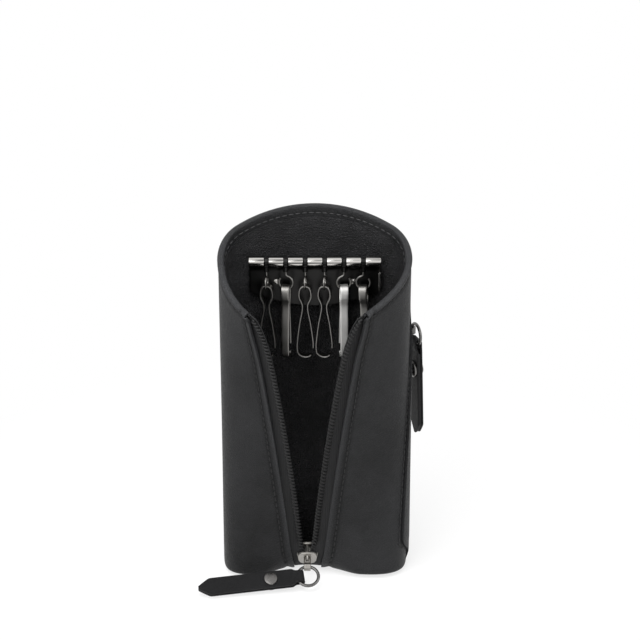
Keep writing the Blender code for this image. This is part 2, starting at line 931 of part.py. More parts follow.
def tab_rivet_mesh():
    seat = tab_thickness / 2 + clearance / 2
    back = rivet_radius * 0.8
    profile = [(back * 0.4, -seat - rivet_dome * 0.5), (back, -seat - rivet_dome * 0.2),
               (back, -seat), (rivet_shank / 2, -seat), (rivet_shank / 2, seat),
               (rivet_radius, seat), (rivet_radius * 0.95, seat + rivet_dome * 0.35),
               (rivet_radius * 0.68, seat + rivet_dome * 0.8), (rivet_radius * 0.25, seat + rivet_dome)]
    return turned(profile)


def add_puller(name, slider_frame, rail_centre, directions, materials, collection):
    """A slider with its link, ring, strap and rivet, each hung from the piece before it.

    The slider turns about rail_centre as it runs along its zip. Of the directions, reach points
    along the link and to_ring from its eye to the ring's centre; strap and width are the
    strap's length and width, both in the ring's plane.
    """
    reach, eye_reach, to_ring, strap, width = directions
    metal, dark_leather = materials
    across = slider_frame.col[0].to_3d()
    outward = slider_frame.col[2].to_3d()
    pivot = slider_frame.translation + outward * link_pivot_height()
    eye = pivot + reach * eye_reach
    centre = eye + to_ring * ring_radius
    ring_normal = strap.cross(width)
    loop = centre + strap * ring_radius
    ring_place = frame(eye, strap, width, ring_normal)
    ring = ring_mesh()
    ring.transform(Matrix.Translation(ring_place.to_3x3().transposed() @ (centre - eye)))
    tab_place = frame(loop, strap, width, ring_normal)
    pieces = (
        ("slider", slider_mesh(), slider_frame, metal),
        ("pull_link", link_mesh(eye_reach), frame(pivot, across, reach, across.cross(reach)), metal),
        ("pull_ring", ring, ring_place, metal),
        ("pull_tab", tab_mesh(), tab_place, dark_leather),
        ("pull_rivet", tab_rivet_mesh(),
         tab_place @ Matrix.Translation((rivet_from_loop, 0.0, 0.0)), metal),
    )
    carrier = add_pivot(f"{name}_zip_run", rail_centre, collection)
    for part, mesh, place, material in pieces:
        carrier = hang(new_object(f"{name}_{part}", mesh, material, collection), place, carrier)
    for label, value in (("pivot", pivot), ("across", across), ("reach", reach), ("eye", eye),
                         ("centre", centre), ("loop", loop), ("strap", strap), ("width", width),
                         ("rail", rail_centre)):
        print("joint", name, label, [round(v, 5) for v in value])


def stack_depth():
    """Depth of the middle of the coil and tape that run through a slider."""
    return (leather + clearance + tape + leather + clearance - coil_bed - coil_height) / 2


def add_main_puller(metal, dark_leather, collection):
    """At the foot of the front zip; the strap lies out to the left."""
    level = slider_level_share
    pair = [[Vector(under_surface(side, 0.0, level + step, stack_depth())) for side in (-1, 1)]
            for step in (-slider_probe_share, 0.0, slider_probe_share)]
    centre = (pair[1][0] + pair[1][1]) / 2
    up = (pair[2][0] + pair[2][1] - pair[0][0] - pair[0][1]).normalized()
    up = Matrix.Rotation(main_slider_tilt, 3, "X") @ up
    right = Vector((1, 0, 0))
    place = frame(centre, right, up, right.cross(up))
    reach = Vector((0, -math.cos(main_link_rise), math.sin(main_link_rise)))
    spin = Matrix.Rotation(main_ring_heading, 3, "Z")
    back = spin @ Vector((0, math.cos(main_ring_tilt), math.sin(main_ring_tilt)))
    left = spin @ Vector((-1, 0, 0))
    strap = left * math.cos(main_tab_swing) - back * math.sin(main_tab_swing)
    width = back * math.cos(main_tab_swing) + left * math.sin(main_tab_swing)
    rail = Vector((centre.x, main_path_centre[0], main_path_centre[1]))
    directions = (reach, link_eye, -back, strap, width)
    add_puller("main", place, rail, directions, (metal, dark_leather), collection)


def add_pocket_puller(metal, dark_leather, collection):
    """At the right end of the pocket zip; the strap hangs beside the pouch."""
    origin = arc_point(pocket_slider_place(), stack_depth(), pocket_height())
    angle = pocket_slider_place() / back_oval(1.0)[2]
    outward = Vector((math.sin(angle), math.cos(angle), 0))
    open_end = Vector((math.cos(angle), -math.sin(angle), 0))
    place = frame(origin, open_end.cross(outward), open_end, outward)
    reach = outward * math.cos(pocket_link_angle) + open_end * math.sin(pocket_link_angle)
    away = Vector((math.cos(pocket_ring_heading), -math.sin(pocket_ring_heading), 0))
    rail = Vector((0, back_oval(1.0)[0] - back_oval(1.0)[2], pocket_height()))
    directions = (reach, pocket_link_eye, away, Vector((0, 0, -1)), away)
    add_puller("pocket", place, rail, directions, (metal, dark_leather), collection)


# Key plate

def plate_half():
    return half_width - plate_side_room


def rod_place():
    """The plate's back corners touch the lining, and its pad ends over the pocket."""
    depth = leather + tape + 2 * clearance + lining_cloth + plate_gap
    y = back_y(plate_half(), depth) - plate_set_back - plate_thickness
    return y, pocket_top() + pad_lift + plate_middle_drop - pad_inset


def hook_places():
    """As many hooks as the plate has room for."""
    count = int(2 * (plate_half() - plate_end_room) / hook_pitch) + 1
    return [(k - (count - 1) / 2) * hook_pitch for k in range(count)]


def plate_drop(x):
    """How far under the rod the plate ends: its lower edge is a shallow arc."""
    return lerp(plate_middle_drop, plate_side_drop, (x / plate_half()) ** 2)


def plate_rivet_x():
    """Each rivet shows between the last two hooks at its end."""
    return hook_places()[-1] - hook_pitch / 2


def rivet_holes():
    low, high = knuckle_radius, plate_set_back + 8 * overrun
    hole = drum(plate_rivet_radius / 2 + clearance, low, high, axis="Y", sides=10)
    return [moved(hole, Matrix.Translation((side * plate_rivet_x(), 0.0, -plate_rivet_drop)))
            for side in (-1, 1)]


def key_plate_mesh():
    """A plate rolled round the rod at its top, with gaps for the hangers. The rod is the origin."""
    half = plate_half()
    tube = drum(knuckle_radius, -half, half, axis="X", sides=12)
    across = [lerp(-half, half, k / 6) for k in range(7)]
    start = knuckle_radius - plate_thickness
    grids = []
    for extra in (0.0, plate_thickness):
        profile = [(start, 0.0), (start, -plate_step_top), (plate_set_back, -plate_step_bottom)]
        rows = [[(x, y + extra, z) for x in across] for y, z in profile]
        rows.append([(x, plate_set_back + extra, -plate_drop(x)) for x in across])
        grids.append(rows)
    flange = box((half - plate_thickness, plate_set_back - plate_flange, -plate_side_drop),
                 (half, plate_set_back + plate_thickness / 2, -plate_step_bottom))
    whole = combine(tube, [grid_shell(*grids), flange], "UNION")
    cuts = [drum(knuckle_bore, -half - overrun, half + overrun, axis="X", sides=10)] + rivet_holes()
    reach = knuckle_radius + overrun
    for x in hook_places():
        cuts.append(box((x - knuckle_gap / 2, -reach, -hanger_radius - clearance),
                        (x + knuckle_gap / 2, reach, reach)))
    return combine(whole, cuts, "DIFFERENCE")


def backing_mesh():
    """A pad that fills the space between the flat plate and the curved lining."""
    half = plate_half() - pad_inset
    front = plate_set_back + plate_thickness + clearance
    depth = leather + tape + lining_cloth + 4 * clearance
    rod_y = rod_place()[0]
    top = -plate_step_bottom
    across = [lerp(-half, half, k / 8) for k in range(9)]
    rows_front, rows_back = [], []
    for low in (True, False):
        heights = [-plate_drop(x) + pad_inset if low else top for x in across]
        rows_front.append([(x, front, z) for x, z in zip(across, heights)])
        rows_back.append([(x, back_y(x, depth) - rod_y, z) for x, z in zip(across, heights)])
    return combine(grid_shell(rows_front, rows_back), rivet_holes(), "DIFFERENCE")


def plate_rivet_mesh(side):
    """A rivet through the plate into its pad, with a domed head in front."""
    front = plate_set_back - clearance / 2
    back = plate_set_back + plate_thickness + 2 * clearance + plate_rivet_radius
    head, shank = plate_rivet_radius, plate_rivet_radius / 2
    profile = [(shank * 0.6, back), (shank, back - shank), (shank, front), (head, front),
               (head * 0.8, front - head * 0.4), (head * 0.3, front - head * 0.55)]
    mesh = turned([(r, -y) for r, y in profile], sides=10)
    mesh.transform(Matrix.Rotation(math.pi / 2, 4, "X"))
    mesh.transform(Matrix.Translation((side * plate_rivet_x(), 0.0, -plate_rivet_drop)))
    return mesh


def hanger_mesh():
    """A strap round the rod with a collar under it for the swivel's pin."""
    strap = drum(hanger_radius, -hanger_width / 2, hanger_width / 2, axis="X", sides=10)
    neck = box((-hanger_width / 2, -hanger_width / 2, -collar_top - clearance),
               (hanger_width / 2, hanger_width / 2, -knuckle_bore))
    collar = drum(collar_radius, -collar_bottom, -collar_top, sides=10)
    whole = combine(strap, [neck, collar], "UNION")
    rod = drum(knuckle_bore, -hanger_width, hanger_width, axis="X", sides=10)
    bore = drum(collar_bore, -collar_bottom - overrun, -collar_bore_top, sides=8)
    return combine(whole, [rod, bore], "DIFFERENCE")


def swivel_mesh():
    """A pin that widens into a small head, running down into an open ring of wire."""
    thin = swivel_wire / 2
    top = -collar_bore_top - clearance
    centre = -swivel_top - swivel_radius
    points = [(0.0, 0.0, top), (0.0, 0.0, top - clearance), (0.0, 0.0, -collar_bottom),
              (0.0, 0.0, -swivel_top + thin)]
    for k in range(12):
        angle = math.radians(lerp(112.0, 400.0, k / 11))
        points.append((swivel_radius * math.cos(angle), 0.0, centre + swivel_radius * math.sin(angle)))
    radii = [0.7, 1.15, 1.0] + [1.0] * (len(points) - 3)
    return bounded_curve(points, thin, 1, radii)


def smooth_path(points, steps):
    """A smooth line through points."""
    points = [np.array(p, float) for p in points]
    padded = [2 * points[0] - points[1]] + points + [2 * points[-1] - points[-2]]
    out = []
    for a, b, c, d in zip(padded, padded[1:], padded[2:], padded[3:]):
        for k in range(steps):
            t = k / steps
            out.append(0.5 * (2 * b + (c - a) * t + (2 * a - 5 * b + 4 * c - d) * t ** 2
                              + (3 * b - a - 3 * c + d) * t ** 3))
    return out + [points[-1]]


def hook_path():
    """The strip's centre line, across and up, from its free end to the tip of its tongue."""
    wide, neck = hook_half_span - hook_strip / 2, hook_neck_half_gap
    loop, top = hook_loop_half_span, hook_top()
    long_leg = [(wide * 0.68, -hook_length * 0.925), (0.0, -hook_length),
                (-wide * 0.82, -hook_length * 0.91), (-wide, -hook_length * 0.76),
                (-wide * 0.72, -hook_length * 0.52), (-neck, -hook_neck),
                (-loop * 0.9, -hook_neck * 0.4), (-loop * 0.8, top * 0.3)]
    tongue = [(0.0, top)] + [(-x, z) for x, z in reversed(long_leg[5:])]
    tongue += [(wide * 0.72, -hook_length * 0.52), (wide, -hook_length * 0.76),
               (wide * 1.02, -hook_length * 0.86)]
    return smooth_path(long_leg + tongue, 2)


def hook_top():
    """The strip rests on the ring's wire at its two edges, where the wire has begun to rise."""
    rise = swivel_radius - math.sqrt(swivel_radius ** 2 - (hook_width / 2) ** 2)
    return rise + swivel_wire / 2 + clearance + hook_strip / 2


def hook_mesh():
    """A strip of spring steel bent into a drop, hung on the ring's lowest point."""
    path = hook_path()
    left, right = [], []
    for k, point in enumerate(path):
        before, after = path[max(k - 1, 0)], path[min(k + 1, len(path) - 1)]
        tangent = (after - before) / np.linalg.norm(after - before)
        normal = np.array([-tangent[1], tangent[0]]) * hook_strip / 2
        left.append(point + normal)
        right.append(point - normal)
    rings = []
    for a, b in zip(left, right):
        rings.append([(a[0], -hook_width / 2, a[1]), (a[0], hook_width / 2, a[1]),
                      (b[0], hook_width / 2, b[1]), (b[0], -hook_width / 2, b[1])])
    return loft(rings)


def build():
    clear_scene()
    case = bpy.data.collections.new("zippered_key_holder")
    bpy.context.scene.collection.children.link(case)
    hide = make_material("black_leather", (0.022, 0.022, 0.024), 0.48)
    cloth = make_material("black_lining", (0.012, 0.012, 0.013), 0.7)
    webbing = make_material("black_tape", (0.010, 0.010, 0.011), 0.85)
    nylon = make_material("black_nylon", (0.015, 0.015, 0.016), 0.4)
    nickel = make_material("polished_nickel", (0.55, 0.53, 0.50), 0.22, 1.0)

    outer, inner = depth_of(0.0), depth_of(leather)
    for side, name in ((-1, "left"), (1, "right")):
        new_object(f"{name}_front_panel", sheet(front_columns(side), case_levels, outer, inner), hide, case)
        foot = add_pivot(f"{name}_zip_close", (side * zip_gap_foot - zip_set_left, *zip_foot), case)
        stay = Matrix.Identity(4)
        hang(new_object(f"{name}_tape", tape_mesh(side), webbing, case), stay, foot)
        hang(new_object(f"{name}_coil", coil_mesh(coil_path(side, *coil_levels)), nylon, case), stay, foot)
    new_object("back_panel", back_panel_mesh(), hide, case)
    new_object("lining", lining_mesh(), cloth, case)
    face = leather + clearance
    new_object("rim_facing", rim_strip(facing_columns(), 0.0, lining_drop - clearance,
                                       face, face + facing_cloth), hide, case)

    # Pocket
    behind = leather + clearance
    far = pocket_window_height / 2 + tape_cover
    near = slider_post / 2 + clearance
    offset = coil_width / 2 + closed_gap
    for side, name in ((1, "upper"), (-1, "lower")):
        low, high = sorted((pocket_height() + side * near, pocket_height() + side * far))
        strip = arc_sheet(pocket_half_length(), low, high, behind, behind + tape)
        new_object(f"pocket_{name}_tape", strip, webbing, case)
        coil = coil_mesh(arc_coil_path(pocket_height() + side * offset))
        new_object(f"pocket_{name}_coil", coil, nylon, case)

    add_main_puller(nickel, hide, case)
    add_pocket_puller(nickel, hide, case)

    # Keys
    rod_y, rod_z = rod_place()
    at_rod = Matrix.Translation((0.0, rod_y, rod_z))
    plate = new_object("key_plate", moved(key_plate_mesh(), at_rod), nickel, case)
    rod = drum(rod_radius, -plate_half(), plate_half(), axis="X", sides=12)
    new_object("key_rod", moved(rod, at_rod), nickel, case)
    new_object("plate_backing", moved(backing_mesh(), at_rod), hide, case)
    for side, name in ((-1, "left"), (1, "right")):
        new_object(f"plate_rivet_{name}", moved(plate_rivet_mesh(side), at_rod), nickel, case)
    hanger, swivel, hook = hanger_mesh(), swivel_mesh(), hook_mesh()
    ring_low = swivel_top + 2 * swivel_radius
    for k, x in enumerate(hook_places()):
        place = Matrix.Translation((x, rod_y, rod_z))
        spin = place @ Matrix.Rotation(hook_turns[k % len(hook_turns)], 4, "Z")
        low = spin @ Matrix.Translation((0.0, 0.0, -ring_low)) @ Matrix.Rotation(math.pi / 2, 4, "Z")
        carrier = plate
        for name, mesh, at in (("hanger", hanger, place), ("swivel", swivel, spin), ("hook", hook, low)):
            carrier = hang(new_object(f"{name}_{k + 1}", mesh, nickel, case), at, carrier)
    print("joint keys", rod_y, rod_z, ring_low, [round(x, 4) for x in hook_places()])


build()
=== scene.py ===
# %% [markdown]
# # A zippered key holder
#
# A soft leather pouch stands with its front zip run down, so that one looks in at a bar of
# swivel hooks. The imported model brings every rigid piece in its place. This file gives some of
# those their metal. It makes the leather, the lining, the zips, the straps, the bar and the hooks
# again, softer and finer, and adds the thread.

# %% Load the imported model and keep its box
import json
import math

import bmesh
import bpy
import numpy as np
from mathutils import Matrix, Vector


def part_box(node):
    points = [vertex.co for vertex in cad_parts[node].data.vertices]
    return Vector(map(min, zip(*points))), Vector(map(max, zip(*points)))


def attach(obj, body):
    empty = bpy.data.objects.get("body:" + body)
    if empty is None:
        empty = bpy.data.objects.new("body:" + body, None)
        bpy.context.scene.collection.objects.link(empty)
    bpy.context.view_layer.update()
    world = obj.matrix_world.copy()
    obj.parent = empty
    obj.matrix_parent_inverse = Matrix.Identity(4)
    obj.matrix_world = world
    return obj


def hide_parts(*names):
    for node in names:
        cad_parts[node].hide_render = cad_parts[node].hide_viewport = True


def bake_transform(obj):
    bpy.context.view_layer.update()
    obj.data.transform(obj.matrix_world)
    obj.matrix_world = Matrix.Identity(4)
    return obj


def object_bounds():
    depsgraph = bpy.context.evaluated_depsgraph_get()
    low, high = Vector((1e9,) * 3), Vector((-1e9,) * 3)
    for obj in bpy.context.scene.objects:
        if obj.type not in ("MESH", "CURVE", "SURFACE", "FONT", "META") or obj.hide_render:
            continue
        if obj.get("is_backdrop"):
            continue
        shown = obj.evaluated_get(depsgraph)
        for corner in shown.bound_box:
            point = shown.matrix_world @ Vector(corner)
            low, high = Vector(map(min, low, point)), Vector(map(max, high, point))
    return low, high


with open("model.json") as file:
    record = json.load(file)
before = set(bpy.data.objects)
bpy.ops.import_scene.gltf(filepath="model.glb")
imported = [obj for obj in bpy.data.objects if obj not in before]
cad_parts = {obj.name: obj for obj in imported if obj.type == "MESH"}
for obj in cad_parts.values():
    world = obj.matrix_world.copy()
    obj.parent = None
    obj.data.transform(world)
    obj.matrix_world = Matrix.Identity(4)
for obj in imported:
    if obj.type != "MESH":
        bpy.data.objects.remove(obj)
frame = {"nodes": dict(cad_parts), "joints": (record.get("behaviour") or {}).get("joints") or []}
joints = {joint["name"]: joint for joint in frame["joints"]}
cad_box = [list(corner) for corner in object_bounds()]
mm = 0.001
print("model box in mm:", [[round(v / mm, 1) for v in corner] for corner in cad_box])

# %% [markdown]
# ## The camera
#
# The photograph looks down at the pouch from about seventy centimetres, with a long lens, so
# upright lines stay nearly parallel. A camera that far away, at the same height above the
# horizon, gives the same rim and the same view into the mouth.

# %% Camera
camera_elevation = math.radians(25.0)
camera_distance = 0.700
focal_length_pixels = 1991
photo_width_pixels = 640
aim = Vector((0.0018, 0.0, 0.0966))

camera_data = bpy.data.cameras.new("camera")
camera_data.sensor_width = 36.0
camera_data.lens = focal_length_pixels / photo_width_pixels * camera_data.sensor_width
camera = bpy.data.objects.new("camera", camera_data)
bpy.context.scene.collection.objects.link(camera)
back_off = Vector((0.0, -math.cos(camera_elevation), math.sin(camera_elevation)))
camera.location = aim + back_off * camera_distance
camera.rotation_euler = (math.pi / 2 - camera_elevation, 0.0, 0.0)
bpy.context.scene.camera = camera
bpy.context.scene.view_settings.view_transform = "Standard"
print("lens", round(camera_data.lens, 1), "mm, looking down", round(math.degrees(camera_elevation)))

# %% [markdown]
# ## Writing shaders as sums
#
# A leather grain is a few noises added and stretched. Written as nodes by hand that is a page
# of clicks, so one small class wraps a socket and turns arithmetic on it into Math nodes.


# %% A socket that can be added and multiplied
class Signal:
    """An output in a node tree. Arithmetic on it adds Math nodes."""

    def __init__(self, finish, socket):
        self.finish = finish
        self.socket = socket

    def combine(self, operation, first, second):
        return self.finish.node("ShaderNodeMath", {"operation": operation}, [first, second])

    def __add__(self, other):
        return self.combine("ADD", self, other)

    def __rsub__(self, other):
        return self.combine("SUBTRACT", other, self)

    def __mul__(self, other):
        return self.combine("MULTIPLY", self, other)

    __radd__ = __add__
    __rmul__ = __mul__


class Finish:
    """One material and its nodes."""

    def __init__(self, name, color, roughness, metallic=0.0):
        self.material = bpy.data.materials.new(name)
        self.material.use_nodes = True
        self.tree = self.material.node_tree
        self.shader = self.tree.nodes["Principled BSDF"]
        self.set("Base Color", (*color, 1.0))
        self.set("Roughness", roughness)
        self.set("Metallic", metallic)
        self.place = self.node("ShaderNodeTexCoord", {}, {}, "Object")

    def put(self, slot, value):
        if isinstance(value, Signal):
            self.tree.links.new(value.socket, slot)
        else:
            slot.default_value = value

    def set(self, name, value):
        self.put(self.shader.inputs[name], value)

    def node(self, kind, settings, inputs, output=0):
        made = self.tree.nodes.new(kind)
        for setting, value in settings.items():
            setattr(made, setting, value)
        pairs = inputs.items() if isinstance(inputs, dict) else enumerate(inputs)
        for name, value in pairs:
            self.put(made.inputs[name], value)
        return Signal(self, made.outputs[output])

    def ramp(self, value, stops):
        made = self.tree.nodes.new("ShaderNodeValToRGB")
        elements = made.color_ramp.elements
        while len(elements) < len(stops):
            elements.new(0.5)
        for element, (at, level) in zip(elements, stops):
            element.position = at
            element.color = (level, level, level, 1.0)
        self.put(made.inputs["Fac"], value)
        return Signal(self, made.outputs["Color"])

    def mix(self, share, first, second):
        """Two colours blended. They are the Mix node's inputs 6 and 7."""
        return self.node("ShaderNodeMix", {"data_type": "RGBA"}, {0: share, 6: first, 7: second}, 2)

    def noise(self, per_metre, detail=2.0, roughness=0.5, at=None):
        return self.node("ShaderNodeTexNoise", {}, {
            "Vector": at or self.place, "Scale": per_metre, "Detail": detail, "Roughness": roughness})

    def wave(self, direction, scale, distortion):
        return self.node("ShaderNodeTexWave", {"wave_type": "BANDS", "bands_direction": direction},
                         {"Vector": self.place, "Scale": scale, "Distortion": distortion}, "Fac")

    def bump(self, height, distance, strength):
        self.set("Normal", self.node("ShaderNodeBump", {}, {
            "Height": height, "Distance": distance, "Strength": strength}))


# %% [markdown]
# ## Leather
#
# The outside is a smooth black hide. Close up it has a fine pebble, cells a little under a
# millimetre wide with creases between them, and over that a slow unevenness from the body of
# the hide. Cells come from a Voronoi texture, and both steer roughness as well as height, since
# the tops of a grain are rubbed smoother than its creases. Folded edges and beads are painted
# paler, a painted highlight that also stands for burnish, and the stitched grooves are painted
# dark, painted shade: each sheet carries both as an attribute on its vertices.


# %% Leathers
# Painted light on the leather: edges and beads are painted paler as a highlight, and stitched grooves
# are painted dark as shade.
unpainted_level = 0.5
painted_highlight_tone = 2.3
painted_groove_shade_tone = 0.25


def toned(color, share):
    """A colour made lighter or darker, as a shader's socket takes it."""
    return tuple(channel * share for channel in color) + (1.0,)


def hide(name, color, roughness, cell, relief, wear, gloss):
    """A grained leather: cell is the grain's width, relief its height, wear its patchiness."""
    finish = Finish(name, color, roughness)
    bend = finish.noise(1.6 / cell, 1.0)
    shift = finish.node("ShaderNodeVectorMath", {"operation": "SCALE"}, {0: bend, "Scale": cell * 0.5})
    warped = finish.node("ShaderNodeVectorMath", {"operation": "ADD"}, [finish.place, shift])
    cells = finish.node("ShaderNodeTexVoronoi", {"feature": "DISTANCE_TO_EDGE"},
                        {"Vector": warped, "Scale": 1.0 / cell}, "Distance")
    pebble = finish.ramp(cells, [(0.0, 0.0), (0.12, 0.62), (0.45, 1.0)])
    slow = finish.noise(110.0, 3.0, 0.6)
    cloud = finish.noise(30.0, 5.0, 0.68)
    fine = finish.noise(5.0 / cell, 2.0, 0.6)
    finish.bump(pebble * 0.55 + fine * 0.25 + slow * 2.2, distance=relief, strength=0.8)
    tone = finish.ramp(cloud, [(0.34, 0.0), (0.66, 1.0)]) * 0.6 + slow * 0.15 + pebble * 0.25
    plain = finish.mix(tone, toned(color, 1.0 - wear), toned(color, 1.0 + wear))
    # This vertex attribute paints light and shade: a painted highlight on edges and beads, painted shade
    # in the stitched grooves.
    painted_light = finish.node("ShaderNodeAttribute", {"attribute_name": "painted_light"}, {}, "Fac")
    highlight_share = finish.ramp(painted_light, [(unpainted_level, 0.0), (1.0, 1.0)])
    shade_share = finish.ramp(painted_light, [(0.0, 1.0), (unpainted_level, 0.0)])
    with_highlight = finish.mix(highlight_share * 0.8, plain, toned(color, painted_highlight_tone))
    finish.set("Base Color", finish.mix(shade_share * 0.9, with_highlight, toned(color, painted_groove_shade_tone)))
    finish.set("Roughness", roughness + 0.04 - 0.10 * pebble + 0.18 * cloud)
    finish.set("Specular IOR Level", gloss)
    return finish.material


leather = hide("pouch_leather", (0.0110, 0.0112, 0.0119), 0.42,
               cell=0.00085, relief=0.00040, wear=0.80, gloss=0.22)
strap_leather = hide("strap_leather", (0.0074, 0.0074, 0.0079), 0.48,
                     cell=0.00055, relief=0.00012, wear=0.35, gloss=0.14)
lining_leather = hide("lining_leather", (0.0150, 0.0150, 0.0158), 0.34,
                      cell=0.00085, relief=0.00085, wear=0.90, gloss=0.24)
edge_paint = hide("cut_leather_edge", (0.0170, 0.0170, 0.0180), 0.50,
                  cell=0.00035, relief=0.00005, wear=0.25, gloss=0.16)


def store_painted_light(item, marks=None):
    """Store how much painted highlight (to 1) or painted shade (to 0) each vertex of a sheet has.
    Halfway is none.
    """
    layer = item.data.attributes.new("painted_light", "FLOAT", "POINT")
    layer.data.foreach_set("value", marks or [unpainted_level] * len(item.data.vertices))


print("leathers:", *(made.name for made in (leather, strap_leather, lining_leather, edge_paint)))


# %% [markdown]
# ## Cloth, nylon and thread
#
# The zip tape is a narrow woven ribbon: ribs two thirds of a millimetre apart run up it and finer
# picks cross them. The coils are drawn nylon, smoother than anything around them, which is why
# they catch small lights. Thread is darker than the leather and a little fuzzy. The rows inside
# the rim get a paler copy of it: a painted highlight where they catch the light.

# %% Tape, nylon and thread
tape_finish = Finish("zip_tape_weave", (0.0085, 0.0085, 0.0090), 0.85)
ribs = tape_finish.wave("X", 480.0, 1.5)
picks = tape_finish.wave("Z", 620.0, 1.0)
weave = ribs * 0.6 + picks * 0.4
tape_finish.bump(weave, distance=0.00012, strength=0.7)
tape_finish.set("Base Color", tape_finish.mix(weave, (0.0055, 0.0055, 0.0058, 1.0),
                                              (0.0135, 0.0135, 0.0142, 1.0)))
tape_weave = tape_finish.material

nylon_finish = Finish("coil_nylon", (0.0090, 0.0088, 0.0090), 0.36)
nylon_finish.set("Specular IOR Level", 0.35)
streaks = nylon_finish.noise(2600.0, 2.0)
nylon_finish.set("Roughness", 0.30 + 0.16 * streaks)
nylon_finish.bump(streaks, distance=0.00002, strength=0.4)
nylon = nylon_finish.material

thread_finish = Finish("black_thread", (0.0075, 0.0075, 0.0080), 0.70)
twist = thread_finish.wave("DIAGONAL", 1500.0, 2.0)
thread_finish.bump(twist, distance=0.00005, strength=0.6)
thread_finish.set("Base Color", thread_finish.mix(twist, (0.0050, 0.0050, 0.0052, 1.0),
                                                  (0.0120, 0.0120, 0.0125, 1.0)))
thread = thread_finish.material
# A paler copy of the thread, for the rows inside the rim: a painted highlight.
highlight_thread_finish = Finish("highlight_painted_thread", (0.021, 0.021, 0.022), 0.50)
highlight_thread_finish.bump(highlight_thread_finish.noise(2200.0), distance=0.00004, strength=0.5)
highlight_painted_thread = highlight_thread_finish.material
print("cloth:", *(made.name for made in (tape_weave, nylon, thread, highlight_painted_thread)))

# %% [markdown]
# ## Metal
#
# The bar, the hooks and the sliders are plated. Plating is never a perfect mirror: it has hair
# lines from tumbling and a faint haze. One function makes seven platings, from very pale to near
# black; the near-black one is painted shade on the bar's plate, rod and hangers, the palest a
# painted highlight on one hook. The bar's roll has long light and dark bands, painted reflections.


# %% Nickel
def plating(name, color, roughness, haze):
    """A plated metal: haze is how far its roughness wanders."""
    finish = Finish(name, color, roughness, 1.0)
    cloud = finish.noise(240.0, 3.0, 0.6)
    stretched = finish.node("ShaderNodeMapping", {}, {"Vector": finish.place, "Scale": (1.0, 1.0, 0.08)})
    hair = finish.noise(5200.0, 2.0, 0.7, stretched)
    finish.set("Roughness", roughness + haze * cloud + haze * 0.6 * hair)
    finish.set("Base Color", finish.mix(cloud, toned(color, 0.80), toned(color, 1.0)))
    finish.bump(hair, distance=0.000006, strength=0.35)
    return finish.material


bright_nickel = plating("bright_nickel", (0.62, 0.605, 0.58), 0.14, 0.12)
grey_nickel = plating("grey_nickel", (0.27, 0.262, 0.25), 0.20, 0.14)
satin_nickel = plating("satin_nickel", (0.40, 0.385, 0.36), 0.24, 0.16)
brushed_nickel = plating("brushed_nickel", (0.185, 0.179, 0.174), 0.17, 0.12)
# A far paler, rougher copy for one hook: its brightness is partly that roughness, partly a painted
# highlight.
painted_highlight_nickel = plating("painted_highlight_nickel", (0.86, 0.85, 0.83), 0.42, 0.10)
dark_nickel = plating("dark_nickel", (0.16, 0.157, 0.153), 0.16, 0.14)
# A near-black copy of the plating: painted shade on the pieces deep in the bar's shadow.
shade_painted_nickel = plating("shade_painted_nickel", (0.030, 0.0295, 0.029), 0.22, 0.16)

# Light and dark bands along the roll, put in its colour: painted reflections.
rolled = Finish("painted_band_nickel", (0.45, 0.44, 0.42), 0.16, 1.0)
along_roll = rolled.node("ShaderNodeMapping", {}, {"Vector": rolled.place, "Scale": (0.012, 1.0, 1.0)})
reflection_bands = rolled.ramp(rolled.noise(1500.0, 1.0, 0.4, along_roll), [(0.42, 0.0), (0.50, 0.5), (0.58, 1.0)])
rolled.set("Base Color", rolled.mix(reflection_bands, (0.085, 0.083, 0.080, 1.0), (0.62, 0.605, 0.58, 1.0)))
rolled.set("Roughness", 0.14 + 0.10 * rolled.noise(300.0))
painted_band_nickel = rolled.material
print("platings:", *(made.name for made in bpy.data.materials if "nickel" in made.name))

# %% [markdown]
# ## The form under the leather
#
# Leather, tape and lining are all bent over one form. In plan the form is a flap curve on each
# side of the zip and a three-arc oval round the back, and both open out as they rise. A point on
# it is named by its side, its place, which is 0 at the coil, 1 at the side and 2 at the middle
# of the back, and its level, which is 0 at the top of the base's fold and 1 at the rim. The sizes
# are those of the solid model, so that each new sheet lies where its solid one did.

# %% Sizes of the form
sides = ((-1, "left"), (1, "right"))
half_width = 0.0335
side_height = 0.122
rim_slope_share = 0.68
mouth_depth = 0.0185
base_depth = 0.014
side_set_forward = 0.005
back_corner_share = 0.68
flare_room = 0.0031
zip_set_left = 0.0028
clearance = 0.0003
base_side_handle = 0.019
rim_side_handle = 0.0085
base_zip_handle = (0.010, -0.0132)
rim_zip_handle = (0.0265, -0.016)
base_zip_y = -0.0125
rim_zip_y = -0.022
zip_gap_foot = 0.0016
zip_gap_rise = 0.0091
zip_gap_bow = 0.0044
zip_gap_flare = 0.0035
flare_power_share = 14
closed_gap = 0.00015
zip_close_share = 0.45
side_fold_height = 0.0035
zip_fold_height = 0.016
zip_fold_reach_share = 0.45
back_fold_height = 0.002
back_fold_reach_share = 0.3
seam_width_share = 0.94
seam_lift = 0.001
seam_half_gap = 0.0002
seam_cross_share = 0.005
base_flat_depth = 0.0009
seam_level_share = -0.985
leather_thickness = 0.0012
tape_thickness = 0.0004
lining_thickness = 0.0004
leather_edge = 0.0050
leather_edge_top = 0.0032
edge_close_share = 0.90
tape_cover = 0.0035
pocket_space = 0.0015
lining_step_share = 0.030
lining_step_rise = 0.0088
lining_top_share = 0.967
lap_width = 0.0080
lap_top_share = 0.70
lap_foot_share = 0.03
lap_full_share = 0.083
pocket_zip_drop = 0.0472
pocket_window_height = 0.0092
pocket_corner_reach = 0.0022


# %% Points on the form
def lerp(a, b, share):
    return a + (b - a) * share


def clamp(share, low=0.0, high=1.0):
    return min(max(share, low), high)


def ease(share):
    share = clamp(share)
    return share * share * (3.0 - 2.0 * share)


